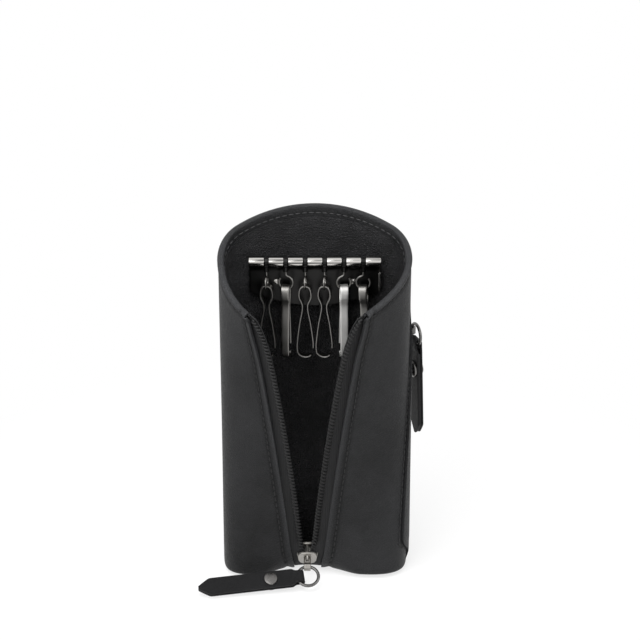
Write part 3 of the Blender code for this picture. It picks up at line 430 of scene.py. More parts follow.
def lengths_along(points):
    """How far each point of a line lies from its start."""
    return np.concatenate([[0.0], np.cumsum(np.linalg.norm(np.diff(points, axis=0), axis=1))])


def half_gap(rise):
    """Half the opening between the coils."""
    bow = zip_gap_bow * rise ** 2
    return zip_gap_foot + zip_gap_rise * rise + bow + zip_gap_flare * rise ** flare_power_share


back_rim = side_height + rim_slope_share * mouth_depth - base_flat_depth
back_foot = back_fold_height - base_flat_depth
pocket_height = back_rim - pocket_zip_drop
pocket_far = pocket_window_height / 2 + tape_cover
flare_level = (pocket_height - pocket_far - flare_room - back_foot) / (back_rim - back_foot)
pocket_top = pocket_height + pocket_window_height / 2 + lining_step_rise
lining_step_level = (pocket_top - back_foot) / (back_rim - back_foot)


def back_oval(rise):
    depth = lerp(base_depth, mouth_depth, ease(rise / flare_level))
    corner = depth * back_corner_share
    reach = half_width - corner
    main = (reach ** 2 + depth ** 2 - corner ** 2) / (2.0 * (depth - corner))
    return depth, corner, main, math.atan2(reach, main - depth)


def side_y(rise):
    return -side_set_forward * (1.0 - ease(rise / flare_level))


flap_cache = {}


def flap_curve(rise):
    """A flap in plan, from the coil's edge to the side, and the length along it."""
    key = round(rise, 5)
    if key not in flap_cache:
        edge = np.array([half_gap(rise), lerp(base_zip_y, rim_zip_y, rise)])
        handle = lerp(np.array(base_zip_handle), np.array(rim_zip_handle), rise)
        side = np.array([half_width, side_y(rise)])
        side_handle = side - [0.0, lerp(base_side_handle, rim_side_handle, rise)]
        s = np.linspace(0.0, 1.0, 49)[:, None]
        points = ((1 - s) ** 3 * edge + 3 * (1 - s) ** 2 * s * handle
                  + 3 * (1 - s) * s ** 2 * side_handle + s ** 3 * side)
        flap_cache[key] = points, lengths_along(points)
    return flap_cache[key]


def flap_share(distance, level):
    """The place that lies a distance from the coil's edge."""
    length = flap_curve(max(level, 0.0))[1][-1]
    if distance <= length:
        return distance / length
    depth, corner, main, main_angle = back_oval(max(level, 0.0))
    return 1.0 + (distance - length) / (corner * (math.pi / 2 - main_angle) + main * main_angle)


def edge_distance(level):
    """How far the leather's edge lies from the coil's. It closes in on the coil at the rim."""
    closing = ease((level - edge_close_share) / (1.0 - edge_close_share))
    return lerp(leather_edge, leather_edge_top, closing)


def plan_point(place, rise):
    if place <= 1.0:
        points, lengths = flap_curve(rise)
        at = place * lengths[-1]
        return np.array([np.interp(at, lengths, points[:, 0]), np.interp(at, lengths, points[:, 1])])
    depth, corner, main, main_angle = back_oval(rise)
    corner_arc = corner * (math.pi / 2 - main_angle)
    at = (place - 1.0) * (corner_arc + main * main_angle)
    if at < corner_arc:
        x, y = half_width - corner, side_y(rise)
        return np.array([x + corner * math.cos(at / corner), y + corner * math.sin(at / corner)])
    angle = main_angle - (at - corner_arc) / main
    y = side_y(rise) + depth - main
    return np.array([main * math.sin(angle), y + main * math.cos(angle)])


def fold_height(place):
    if place > 1.0:
        return lerp(side_fold_height, back_fold_height, ease((place - 1.0) / back_fold_reach_share))
    return lerp(zip_fold_height, side_fold_height, ease(place / zip_fold_reach_share))


def seam_y(place):
    """Where a sheet meets the seam under the base, a hair to its own side of it."""
    return seam_half_gap * clamp((place - 1.0) / seam_cross_share, -1.0) - side_set_forward


def form(side, place, level):
    rise = max(level, 0.0)
    x, y = plan_point(place, rise)
    if level < 0.0:
        closing = min(-level / zip_close_share, 1.0)
        x = max(x - half_gap(0.0) * closing * (1 - ease(place)), closed_gap)
    rim_z = side_height + rim_slope_share * plan_point(place, 1.0)[1]
    fold = fold_height(place)
    if level >= 0.0:
        z = lerp(fold, rim_z, level)
    else:
        turn = -level * math.pi / 2
        pull = 1.0 - math.cos(turn)
        x *= lerp(1.0, seam_width_share, pull * ease(place))
        y = lerp(y, seam_y(place), pull)
        z = fold * (1.0 - math.sin(turn)) + seam_lift * pull ** 2
    shift = zip_set_left * (1.0 - ease(place))
    return np.array([side * x - shift, y, z - base_flat_depth])


normal_step = 0.002


def inward_normal(side, place, level):
    low, high = max(place - normal_step, 0.0), min(place + normal_step, 2.0)
    under, over = max(level - normal_step, -1.0), min(level + normal_step, 1.0)
    along = form(side, high, level) - form(side, low, level)
    up = form(side, place, over) - form(side, place, under)
    normal = np.cross(along, up) * side
    return -normal / np.linalg.norm(normal)


def under(side, place, level, depth):
    """A point a depth under the form. Nothing goes below the ground."""
    point = form(side, place, level) + inward_normal(side, place, level) * depth
    point[2] = max(point[2], 0.0)
    return point


def rim_level(drop, place):
    """The level that lies a drop under the rim."""
    return 1.0 - drop / (side_height + rim_slope_share * plan_point(place, 1.0)[1])


def arc_point(distance, depth, z):
    """A point of the upright part of the back, a distance round it from its middle."""
    full, corner, main, main_angle = back_oval(1.0)
    bend = abs(distance) / main
    over = max(abs(distance) - main * main_angle, 0.0)
    if over:
        bend = main_angle + over / corner
    centre_x = half_width - corner if over else 0.0
    centre_y = 0.0 if over else full - main
    reach = (corner if over else main) - depth
    x = math.copysign(centre_x + reach * math.sin(bend), distance)
    return np.array([x, centre_y + reach * math.cos(bend), z])


pocket_half_length = back_oval(1.0)[2] * back_oval(1.0)[3] + pocket_corner_reach
print("pocket zip at", round(pocket_height / mm, 2), "mm, half", round(pocket_half_length / mm, 2))


# %% [markdown]
# ## Bending a flat sheet over the form
#
# A panel starts as a flat grid, as it does on the cutting table. Every point of the grid is then
# laid on the form, Solidify gives the hide its thickness inwards, Bevel rounds the cut edges and
# one subdivision takes the facets away.


# %% Helpers for sheets
merge_distance = 0.00001


def deselect():
    bpy.ops.object.select_all(action="DESELECT")


def keep_only(item):
    deselect()
    item.select_set(True)
    bpy.context.view_layer.objects.active = item


def apply_all(item):
    keep_only(item)
    for modifier in list(item.modifiers):
        bpy.ops.object.modifier_apply(modifier=modifier.name)


def finish_piece(item, material, smooth_angle):
    item.data.materials.clear()
    item.data.materials.append(material)
    item.data.shade_smooth()
    item.data.set_sharp_from_angle(angle=math.radians(smooth_angle))


def settle(item, material, smooth_angle, replaced=(), body=None):
    """Finish a piece, hide the nodes it replaces and hang it on the body that carries it."""
    finish_piece(item, material, smooth_angle)
    if replaced:
        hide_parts(*replaced)
    if body:
        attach(item, body)
    print(item.name, len(item.data.polygons), "faces")
    return item


def reshape(item, edit):
    """Run an edit on a piece's mesh."""
    work = bmesh.new()
    work.from_mesh(item.data)
    edit(work)
    work.to_mesh(item.data)
    work.free()


def turn_faces(work):
    bmesh.ops.reverse_faces(work, faces=work.faces)


def laid_grid(name, across, along, place_point, outward_at):
    """A grid primitive whose points are laid where place_point(u, v) says, facing outwards."""
    deselect()
    bpy.ops.mesh.primitive_grid_add(x_subdivisions=across, y_subdivisions=along, size=1.0)
    item = bpy.context.object
    item.name = name
    item.data.name = name
    for vertex in item.data.vertices:
        vertex.co = Vector(place_point(clamp(vertex.co.x + 0.5), clamp(vertex.co.y + 0.5)))
    item.data.update()
    turned = sum((face.normal * face.area for face in item.data.polygons), Vector())
    if turned.dot(Vector(outward_at)) < 0.0:
        reshape(item, turn_faces)
    return item


def solidify(item, thickness, offset=-1.0):
    solid = item.modifiers.new("thickness", "SOLIDIFY")
    solid.thickness = thickness
    solid.offset = offset


def bevel(item, width, segments=3, angle=50.0):
    rounded = item.modifiers.new("rounded edge", "BEVEL")
    rounded.width = width
    rounded.segments = segments
    rounded.limit_method = "ANGLE"
    rounded.angle_limit = math.radians(angle)


def thicken(item, thickness, edge, levels=1):
    """Give a sheet its thickness inwards, round its cut edges and soften it."""
    solidify(item, thickness)
    bevel(item, edge)
    if levels:
        soft = item.modifiers.new("soft", "SUBSURF")
        soft.levels = soft.render_levels = levels
    apply_all(item)


# %% [markdown]
# ## The leather panels
#
# Two front flaps end in a folded edge beside the zip, and one back panel goes round both sides.
# On the right the back panel laps over the front flap and is stitched down, which is the seam
# that shows in the photograph. The rows are closer together in the base's fold and at the rim.

# %% Rows of a panel
skin = 0.0010
panel_edge = 0.00048
rim_thickness = 0.0021
rim_roll = rim_thickness / 2
facing_height = 0.0044
top_zone = 0.0062
side_overlap = 0.0009
zip_stitch_from_edge = 0.0027
rim_stitch_drop = 0.0031
bead_rise = 0.00045
groove_depth = 0.00034
groove_reach = 0.0008
# How far the painted highlight on a bead and the painted shade in its groove reach.
highlight_start = 0.0002
highlight_reach_share = 0.62
groove_shade_share = 0.75
inside_painted_share = 0.75
row_counts = {"base": 14, "wall": 50, "top": 11, "roll": 10, "inside": 6}
rows = sum(row_counts.values())


def bead(distance, stitch_at):
    """How proud the leather stands between an edge and its stitches, with a groove under them."""
    rise = bead_rise * (1.0 - ease(distance / stitch_at))
    return rise - groove_depth * math.exp(-((distance - stitch_at) / groove_reach) ** 2)


def painted_light_at(distance, stitch_at):
    """A painted highlight on the bead, painted shade in the groove under the stitches."""
    highlight = 0.5 * (1.0 - ease((distance - highlight_start) / (stitch_at * highlight_reach_share)))
    return highlight - 0.5 * math.exp(-((distance - stitch_at) / (groove_reach * groove_shade_share)) ** 2)


def panel_row(v):
    """A row of a panel as (level or None, drop under the rim, depth)."""
    at = v * rows
    if at <= row_counts["base"]:
        return lerp(seam_level_share, 0.0, at / row_counts["base"]), None, 0.0
    at -= row_counts["base"]
    if at <= row_counts["wall"]:
        return lerp(0.0, 1.0 - top_zone / back_rim, at / row_counts["wall"]), None, 0.0
    at -= row_counts["wall"]
    if at <= row_counts["top"]:
        return None, lerp(top_zone, rim_roll, at / row_counts["top"]), 0.0
    at -= row_counts["top"]
    if at <= row_counts["roll"]:
        turn = at / row_counts["roll"] * math.pi
        return None, rim_roll * (1.0 - math.sin(turn)), rim_roll * (1.0 - math.cos(turn))
    share = (at - row_counts["roll"]) / row_counts["inside"]
    return None, lerp(rim_roll, facing_height, share), rim_thickness


painted_light_list = []


def skin_point(side, place_at, v, from_edge=None, raised=None):
    """A point of a panel. The rim is one turned edge, rolled over and down inside."""
    level, drop, depth = panel_row(v)
    # Beads are painted paler, a painted highlight, and grooves darker, painted shade; less of both
    # inside the rim.
    marks = 0.0 if drop is None else painted_light_at(drop, rim_stitch_drop)
    if depth > rim_roll:
        marks *= inside_painted_share
    if from_edge is not None and depth < rim_roll:
        mark = painted_light_at(from_edge, zip_stitch_from_edge)
        marks = max(marks, mark) if mark > 0.0 and marks > 0.0 else marks + mark
    painted_light_list.append(clamp(unpainted_level + marks))
    if level is None:
        level = rim_level(drop, place_at(1.0))
    place = place_at(level)
    outer = max(1.0 - depth / rim_roll, 0.0)
    proud = bead(drop, rim_stitch_drop) * outer if drop is not None else 0.0
    if from_edge is not None:
        proud += bead(from_edge, zip_stitch_from_edge) * outer
    if raised is not None:
        depth += raised(place, level) * outer
    return under(side, place, level, depth - proud)


def leather_panel(name, columns, place_point, outward_at, replaced):
    """A panel of hide: laid on the form, marked where light and shade are painted, and thickened."""
    painted_light_list.clear()
    panel = laid_grid(name, columns, rows, place_point, outward_at)
    store_painted_light(panel, painted_light_list)
    thicken(panel, skin, panel_edge)
    return settle(panel, leather, 60.0, (replaced, "rim_facing"))


# %% Front flaps
edge_columns = 12
flap_columns = 50
edge_zone = 0.0062


def flap_run(u, level):
    """How far a column lies from the leather's edge by the zip."""
    width = flap_curve(max(level, 0.0))[1][-1] + side_overlap - edge_distance(level)
    split = edge_columns / flap_columns
    if u <= split:
        return edge_zone * u / split
    return lerp(edge_zone, width, (u - split) / (1.0 - split))


def flap_point(side, u, v):
    return skin_point(side, lambda level: flap_share(edge_distance(level) + flap_run(u, level), level),
                      v, flap_run(u, 0.5))


front_panels = {}
for side, name in sides:
    front_panels[name] = leather_panel(
        f"{name}_flap_leather", flap_columns, lambda u, v: flap_point(side, u, v),
        -inward_normal(side, 0.5, 0.5), f"{name}_front_panel")


# %% Back panel
back_columns = 104
lap_sink_share = 0.15
lap_step_place = 0.22
lap_gap = 0.00008
lap_lift = skin + lap_gap
back_proud = 0.00003


def lap_start(level):
    """The place where the back panel begins on the right."""
    rise = clamp(level / lap_top_share)
    grown = clamp((level - lap_foot_share) / (lap_full_share - lap_foot_share))
    return 1.0 - flap_share(lerp(side_overlap, lap_width, (1.0 - rise ** 2) * grown), 0.0)


def lap_depth(side, place, level):
    if side < 0:
        return -back_proud
    grown = ease(level / lap_foot_share) * (1.0 - ease((level - lap_top_share) / lap_sink_share))
    return -back_proud - lap_lift * (1.0 - ease((place - 1.0) / lap_step_place)) * grown


def back_side_place(u, level):
    """From the lap on the right, u 0, round the back to the left side, u 1."""
    if u < 0.5:
        return 1, lerp(lap_start(level), 2.0, u * 2.0)
    return -1, lerp(2.0, 1.0 - flap_share(side_overlap, level), u * 2.0 - 1.0)


def back_point(u, v):
    side = back_side_place(u, 0.5)[0]
    return skin_point(side, lambda level: back_side_place(u, level)[1], v,
                      raised=lambda place, level: lap_depth(side, place, level))


back_panel = leather_panel("back_leather", back_columns, back_point, (0.0, 1.0, 0.0), "back_panel")


# %% [markdown]
# ## The pocket's window
#
# The back has a long window for the pocket's zip. It is cut through the finished leather with a
# Boolean, as a knife cuts it, because the window's edge has nothing to do with the grid's lines.


# %% Cut the window
window_cut_reach = 0.003


def arc_band(name, low, high, depth, across, along):
    """A grid laid on the upright back, as long as the pocket's zip, between two heights."""
    return laid_grid(name, across, along,
                     lambda u, v: arc_point(lerp(-pocket_half_length, pocket_half_length, u), depth,
                                            lerp(low, high, v)),
                     (0.0, 1.0, 0.0))


cutter = arc_band("window_cutter", pocket_height - pocket_window_height / 2,
                  pocket_height + pocket_window_height / 2, -window_cut_reach, 90, 3)
store_painted_light(cutter)
solidify(cutter, 2 * window_cut_reach)
apply_all(cutter)
cut = back_panel.modifiers.new("window", "BOOLEAN")
cut.operation = "DIFFERENCE"
cut.object = cutter
apply_all(back_panel)
bpy.data.objects.remove(cutter)
finish_piece(back_panel, leather, 50.0)
print("window cut,", len(back_panel.data.polygons), "faces")

# %% [markdown]
# ## Lining
#
# The lining is a thin pebbled hide that hangs inside the pouch. It steps in behind the pocket.
# Along the mouth it meets the outer leather, turned over the rim. It is cut at the sides into
# the flaps' halves and the back's half, and only the back's half is hung on the pouch.

# %% Lining
lining_step_place = 0.85
lining_step_reach = 0.2
lining_foot_level = -0.93
lining_fold_rows = 0.15
lining_tape_share = 0.6
lining_rows = 70
flap_lining_columns = 30
back_lining_columns = 90
lining_edge = 0.00012


def sheet_level(v, foot, top, fold_rows):
    """The level of a row, from a sheet's foot to its top, with a share of the rows in the fold."""
    if v < fold_rows:
        return lerp(foot, 0.0, v / fold_rows)
    return lerp(0.0, top, (v - fold_rows) / (1.0 - fold_rows))


def lining_depth(place, level):
    behind = ease((place - lining_step_place) / lining_step_reach)
    behind *= ease((lining_step_level - level) / lining_step_share)
    return leather_thickness + tape_thickness + 2 * clearance + (pocket_space + clearance) * behind


def lining_point(side, place_at, v):
    level = sheet_level(v, lining_foot_level, lining_top_share, lining_fold_rows)
    place = place_at(level)
    depth = lining_depth(place, level)
    if level >= 0.0:
        return under(side, place, level, depth)
    top = under(side, place, 0.0, depth)
    turn = -level * math.pi / 2
    pull = 1.0 - math.cos(turn)
    return np.array([top[0] * lerp(1.0, seam_width_share, pull), lerp(top[1], seam_y(place), pull),
                     lerp(top[2], depth, math.sin(turn))])


def flap_lining_place(u, level):
    return lerp(flap_share(leather_edge + tape_cover * lining_tape_share, level), 1.0, u)


lining_pieces = {}
for side, name in sides:
    lining_pieces[name] = laid_grid(
        f"{name}_lining", flap_lining_columns, lining_rows,
        lambda u, v: lining_point(side, lambda level: flap_lining_place(u, level), v),
        -inward_normal(side, 0.5, 0.5))
lining_pieces["back"] = laid_grid(
    "back_lining", back_lining_columns, lining_rows,
    lambda u, v: lining_point(1 if u < 0.5 else -1, lambda level: 2.0 - abs(2.0 * u - 1.0), v),
    (0.0, 1.0, 0.0))
for piece in lining_pieces.values():
    store_painted_light(piece)
    thicken(piece, lining_thickness, lining_edge)
    settle(piece, lining_leather, 60.0, ("lining",))

# %% [markdown]
# ## Zip tapes
#
# The tapes run under the leather's edge to the coils. They are flat strips at their own depth,
# and keep a constant distance from the coil at every height.

# %% Tapes
tape_depth = leather_thickness + clearance + tape_thickness / 4
tape_edge = 0.0001
tape_hide_before = 0.0003
tape_hide_reach = 0.0008
tape_forward_share = 0.6
tape_forward_level = 0.25
tape_behind_leather = 0.003
tape_fold_rows = 0.17
tape_columns = 16
tape_rows = 110
zip_top_level = 0.992
pocket_tape_gap = 0.0009
coil_width = 0.0022
coil_height = 0.00115
coil_pitch = 0.0014
coil_bed = 0.0002


def tape_under(side, reach, v):
    """A point of a zip tape: in the base's fold it comes forward to the leather's own face."""
    level = sheet_level(v, seam_level_share, zip_top_level, tape_fold_rows)
    hidden = ease((reach - leather_edge + tape_hide_before) / tape_hide_reach)
    folded = lerp(tape_thickness * tape_forward_share, tape_depth, hidden)
    depth = lerp(tape_depth, folded, ease(-level / tape_forward_level))
    return under(side, flap_share(reach, level), level, depth)


for side, name in sides:
    tape = laid_grid(
        f"{name}_zip_tape", tape_columns, tape_rows,
        lambda u, v: tape_under(side, lerp(coil_width / 4, leather_edge + tape_behind_leather, u), v),
        -inward_normal(side, 0.1, 0.5))
    thicken(tape, tape_thickness, tape_edge, 0)
    settle(tape, tape_weave, 50.0, (f"{name}_tape",), f"{name}_zip_half")

for side, name in ((1, "upper"), (-1, "lower")):
    low, high = sorted(pocket_height + side * reach for reach in (pocket_tape_gap, pocket_far))
    tape = arc_band(f"pocket_{name}_zip_tape", low, high, leather_thickness + clearance, 60, 4)
    thicken(tape, tape_thickness, tape_edge, 0)
    settle(tape, tape_weave, 50.0, (f"pocket_{name}_tape",), "pouch")

# %% [markdown]
# ## Coils
#
# A coil is one drawn nylon wire wound flat. Each turn is half of it on top of the tape's edge and
# half under it. It is made as a curve with a round bevel, following a flattened helix, and then
# turned into a mesh. Eight points a turn are enough, since so thick a wire hides the corners.

# %% Helices
coil_wire = 0.00031
coil_depth = leather_thickness + clearance - coil_bed - coil_height / 2
coil_foot_level = -0.66
coil_steps = 240
points_per_turn = 8
level_step = 0.004


def weld(work):
    """Merge doubled points and turn every face outwards."""
    bmesh.ops.remove_doubles(work, verts=work.verts, dist=merge_distance)
    bmesh.ops.recalc_face_normals(work, faces=work.faces)


def wire_mesh(name, points, radius, resolution=2, radii=None):
    """A round wire through points, as a mesh."""
    curve = bpy.data.curves.new(name, "CURVE")
    curve.dimensions = "3D"
    curve.bevel_depth = radius
    curve.bevel_resolution = resolution
    curve.use_fill_caps = True
    spline = curve.splines.new("POLY")
    spline.points.add(len(points) - 1)
    for k, (knot, point) in enumerate(zip(spline.points, points)):
        knot.co = (*point, 1.0)
        knot.radius = radii[k] if radii else 1.0
    item = bpy.data.objects.new(name, curve)
    bpy.context.scene.collection.objects.link(item)
    keep_only(item)
    bpy.ops.object.convert(target="MESH")
    reshape(bpy.context.object, weld)
    return bpy.context.object


def helix(frames, length):
    """A flattened helix along (centre, sideways, outward) frames at even steps."""
    centres, sideways, outward = (np.array(column) for column in zip(*frames))
    turns = int(length / coil_pitch)
    share = np.linspace(0.0, 1.0, turns * points_per_turn + 1)
    along = np.linspace(0.0, 1.0, len(centres))
    angle = share * turns * 2.0 * math.pi

    def blended(column):
        return np.stack([np.interp(share, along, column[:, k]) for k in range(3)], axis=1)

    wide, tall = coil_width / 2 - coil_wire, coil_height / 2 - coil_wire
    return (blended(centres) + blended(sideways) * (wide * np.cos(angle))[:, None]
            + blended(outward) * (tall * np.sin(angle))[:, None])


def zip_edge_frames(side):
    """Even steps along a zip edge, in the line of its coil, and the edge's length."""
    fine = np.linspace(coil_foot_level, zip_top_level, 600)
    lengths = lengths_along(
        [under(side, flap_share(coil_width / 2, level), level, coil_depth) for level in fine])
    frames = []
    for level in np.interp(np.linspace(0.0, lengths[-1], coil_steps), lengths, fine):
        place = flap_share(coil_width / 2, level)
        outward = -inward_normal(side, place, level)
        ahead = under(side, place, min(level + level_step, 1.0), coil_depth)
        behind = under(side, place, level - level_step, coil_depth)
        sideways = np.cross((ahead - behind) / np.linalg.norm(ahead - behind), outward)
        frames.append((under(side, place, level, coil_depth),
                       sideways / np.linalg.norm(sideways), outward))
    return frames, lengths[-1]


for side, name in sides:
    frames, length = zip_edge_frames(side)
    coil = wire_mesh(f"{name}_zip_coil", helix(frames, length), coil_wire)
    settle(coil, nylon, 70.0, (f"{name}_coil",), f"{name}_zip_half")
    print("coil", round(length / mm, 1), "mm long")

pocket_slider_room = 0.0051
pocket_coil_room = 0.0029
pocket_coil_steps = 160
closed_offset = coil_width / 2 + closed_gap
start = 2 * coil_pitch - pocket_half_length
end = pocket_half_length - pocket_slider_room - pocket_coil_room
for side, name in ((1, "upper"), (-1, "lower")):
    frames = []
    for k in range(pocket_coil_steps + 1):
        at = lerp(start, end, k / pocket_coil_steps)
        centre = arc_point(at, coil_depth, pocket_height + side * closed_offset)
        outward = arc_point(at, 0.0, 0.0) - arc_point(at, coil_depth, 0.0)
        frames.append((centre, np.array([0.0, 0.0, 1.0]), outward / np.linalg.norm(outward)))
    coil = wire_mesh(f"pocket_{name}_zip_coil", helix(frames, end - start), coil_wire)
    settle(coil, nylon, 70.0, (f"pocket_{name}_coil",), "pouch")

# %% [markdown]
# ## Stitches
#
# A lock stitch shows as a row of short, plump dashes, each pressed into the leather at its ends.
# One dash is modelled from a small sphere. The others are copies of it, each turned along its row.

# %% One stitch, and rows of it
stitch_size = (0.0019, 0.00052, 0.00042)
stitch_step = 0.0024
stitch_aim_share = 0.3
deselect()
bpy.ops.mesh.primitive_uv_sphere_add(segments=8, ring_count=5, radius=0.5,
                                     rotation=(0.0, math.pi / 2, 0.0))
stitch = bpy.context.object
bpy.ops.object.transform_apply(location=False, rotation=True, scale=False)
bpy.ops.object.mode_set(mode="EDIT")
bpy.ops.mesh.select_all(action="SELECT")
bpy.ops.transform.resize(value=stitch_size)
bpy.ops.object.mode_set(mode="OBJECT")
stitch_points = np.array([vertex.co[:] for vertex in stitch.data.vertices])
stitch_faces = [tuple(face.vertices) for face in stitch.data.polygons]
bpy.data.objects.remove(stitch)


def stitch_row(name, line, outwards, ride=None, size_share=1.0, yarn=thread):
    """Stitches along a line of points, each with the direction that is out of the leather."""
    line, outwards = np.array(line), np.array(outwards)
    lengths = lengths_along(line)
    count = max(int(lengths[-1] / stitch_step), 1)
    aim_step = stitch_step * stitch_aim_share

    def read(column, distance):
        return np.array([np.interp(distance, lengths, column[:, axis]) for axis in range(3)])

    vertices, faces = [], []
    for k in range(count):
        at = lengths[-1] * (k + 0.5) / count
        forward = read(line, at + aim_step) - read(line, at - aim_step)
        forward /= np.linalg.norm(forward)
        out = read(outwards, at)
        out -= forward * out.dot(forward)
        out /= np.linalg.norm(out)
        turned = stitch_points * size_share @ np.array([forward, np.cross(out, forward), out])
        faces += [tuple(v + len(vertices) for v in face) for face in stitch_faces]
        vertices += list(turned + read(line, at))
    mesh = bpy.data.meshes.new(name)
    mesh.from_pydata([tuple(map(float, v)) for v in vertices], [], faces)
    item = bpy.data.objects.new(name, mesh)
    bpy.context.scene.collection.objects.link(item)
    return settle(item, yarn, 180.0, (), ride)


def form_row(marks, depth, facing=-1.0):
    """A line through (side, place, level) marks, with its outward directions."""
    return ([under(*mark, depth) for mark in marks],
            [inward_normal(*mark) * facing for mark in marks])


# %% Rows on the panels
stitch_sink = groove_depth * 0.55
zip_stitch_levels = np.linspace(-0.45, 0.985, 160)
seam_stitch_levels = np.linspace(0.06, 0.66, 70)
seam_stitch_out = 0.0011
seam_stitch_proud = 0.0001
seam_stitch_share = 1.15
flap_stitches = {}
for side, name in sides:
    edge_marks = [(side, flap_share(edge_distance(level) + zip_stitch_from_edge, level), level)
                  for level in zip_stitch_levels]
    places = np.linspace(flap_share(leather_edge_top + zip_stitch_from_edge, 1.0), 1.0, 60)
    rim_marks = [(side, place, rim_level(rim_stitch_drop, place)) for place in places]
    flap_stitches[name] = [
        stitch_row(f"{name}_zip_stitches", *form_row(edge_marks, stitch_sink)),
        stitch_row(f"{name}_rim_stitches", *form_row(rim_marks, stitch_sink)),
        stitch_row(f"{name}_inner_rim_stitches", *form_row(rim_marks, rim_thickness, 1.0),
                   yarn=highlight_painted_thread)]

places = [(1, place) for place in np.linspace(1.01, 2.0, 80)]
places += [(-1, place) for place in np.linspace(2.0, 1.01, 80)[1:]]
rim_marks = [(side, place, rim_level(rim_stitch_drop, place)) for side, place in places]
stitch_row("back_rim_stitches", *form_row(rim_marks, stitch_sink), "pouch")
stitch_row("back_inner_rim_stitches", *form_row(rim_marks, rim_thickness, 1.0), "pouch",
           yarn=highlight_painted_thread)

seam_marks = [(1, lap_start(level) - flap_share(seam_stitch_out, level), level)
              for level in seam_stitch_levels]
flap_stitches["right"].append(stitch_row(
    "side_seam_stitches", *form_row(seam_marks, -seam_stitch_proud), size_share=seam_stitch_share))

# %% Rows round the window
window_stitch_out = 0.0022
window_stitch_steps = 40
line, outwards = [], []
reach, rise = pocket_half_length + window_stitch_out, pocket_window_height / 2 + window_stitch_out
corners = [(-reach, -rise), (reach, -rise), (reach, rise), (-reach, rise), (-reach, -rise)]
for (start_at, start_z), (end_at, end_z) in zip(corners, corners[1:]):
    for k in range(window_stitch_steps):
        at = lerp(start_at, end_at, k / window_stitch_steps)
        z = pocket_height + lerp(start_z, end_z, k / window_stitch_steps)
        line.append(arc_point(at, 0.0, z))
        outwards.append(arc_point(at, -mm, z) - arc_point(at, mm, z))
stitch_row("pocket_window_stitches", line, outwards, "pouch")

# %% [markdown]
# ## What bends when the zip closes
#
# The zip's two edges swing together when the slider goes up. The back and the sides stay. Here
# each flap, with the lining, facing and stitches on it, is only baked where it lies, and the back
# panel and the back's lining are hung on the pouch.

# %% Flaps baked in place, back on the pouch
blend_height = 0.06
blend_inset = 0.0005
for side, name in sides:
    start = (side * (half_width - blend_inset), -side_set_forward, blend_height)
    end = (side * half_gap(1.0) - zip_set_left, rim_zip_y, blend_height)
    for piece in [front_panels[name], lining_pieces[name]] + flap_stitches[name]:
        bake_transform(piece)
    print(name, "flap bends from", start[0] / mm, "to", round(end[0] / mm, 2), "mm across")
for piece in (back_panel, lining_pieces["back"]):
    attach(piece, "pouch")

# %% [markdown]
# ## Straps on the pulls
#
# Each pull is a narrow strip of leather, folded through a ring and closed with a rivet. The fold
# shows, so it is made as a strip: out along the under side, round the ring's wire and back along
# the top. A filler between the layers shows as a third line in the painted edge.

# %% Folded straps
tab_length = 0.0385
tab_neck = 0.0023
tab_half = 0.0032
tab_shoulder_start = 0.0008
tab_shoulder = 0.0010
tab_tip = 0.0042
tab_tip_width_share = 0.14
tab_tip_power = 1.1
tab_half_thick = 0.0011
tab_fold_half = 0.00145
tab_layer = 0.0007
tab_edge = 0.0002
tab_closed = -0.0025
tab_end = tab_length + tab_closed
filler_run = (0.60, 0.997)
filler_width_share = 0.93
filler_half = 0.00042
filler_edge = 0.0001


def tab_half_width(x):
    if x < tab_shoulder_start + tab_shoulder:
        return lerp(tab_neck, tab_half, ease((x - tab_shoulder_start) / tab_shoulder))
    over = max(x - (tab_end - tab_tip), 0.0) / tab_tip
    return lerp(tab_half, tab_half * tab_tip_width_share, over ** tab_tip_power)


def tab_surface(s):
    """A point along the strip, from the under side's tip, s 0, to the top side's, s 1."""
    side = -1.0 if s < 0.5 else 1.0
    run = abs(s - 0.5) * 2.0
    bend_share = 0.10
    centre = tab_closed + tab_fold_half
    if run < bend_share:
        angle = run / bend_share * math.pi / 2
        return centre - tab_fold_half * math.cos(angle), side * tab_fold_half * math.sin(angle)
    x = lerp(centre, tab_end, (run - bend_share) / (1.0 - bend_share))
    down = ease((x - tab_shoulder_start) / tab_shoulder)
    return x, side * lerp(tab_fold_half, tab_half_thick, down)


def tab_point(s, across):
    x, z = tab_surface(s)
    return np.array([x, lerp(-1.0, 1.0, across) * tab_half_width(x), z])


def node_place(origin, x_axis, y_axis):
    """A matrix from an origin and two directions."""
    x_axis, y_axis = Vector(x_axis).normalized(), Vector(y_axis).normalized()
    matrix = Matrix.Identity(4)
    for column, axis in enumerate((x_axis, y_axis, x_axis.cross(y_axis))):
        matrix.col[column][:3] = axis
    matrix.translation = Vector(origin)
    return matrix


def joint_at(name):
    return Vector(joints[name]["pos_m"])


def strap_place(name, heading):
    """Where a strap lies: its origin is its flap's joint, and that joint's axis is its width."""
    flap = joints[f"{name}_strap_flap"]
    width = Vector(flap["axis"]).normalized()
    along = Vector(heading)
    along = (along - width * along.dot(width)).normalized()
    return node_place(flap["pos_m"], along, width)


def box_middle(node):
    low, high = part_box(node)
    return (Vector(low) + Vector(high)) / 2


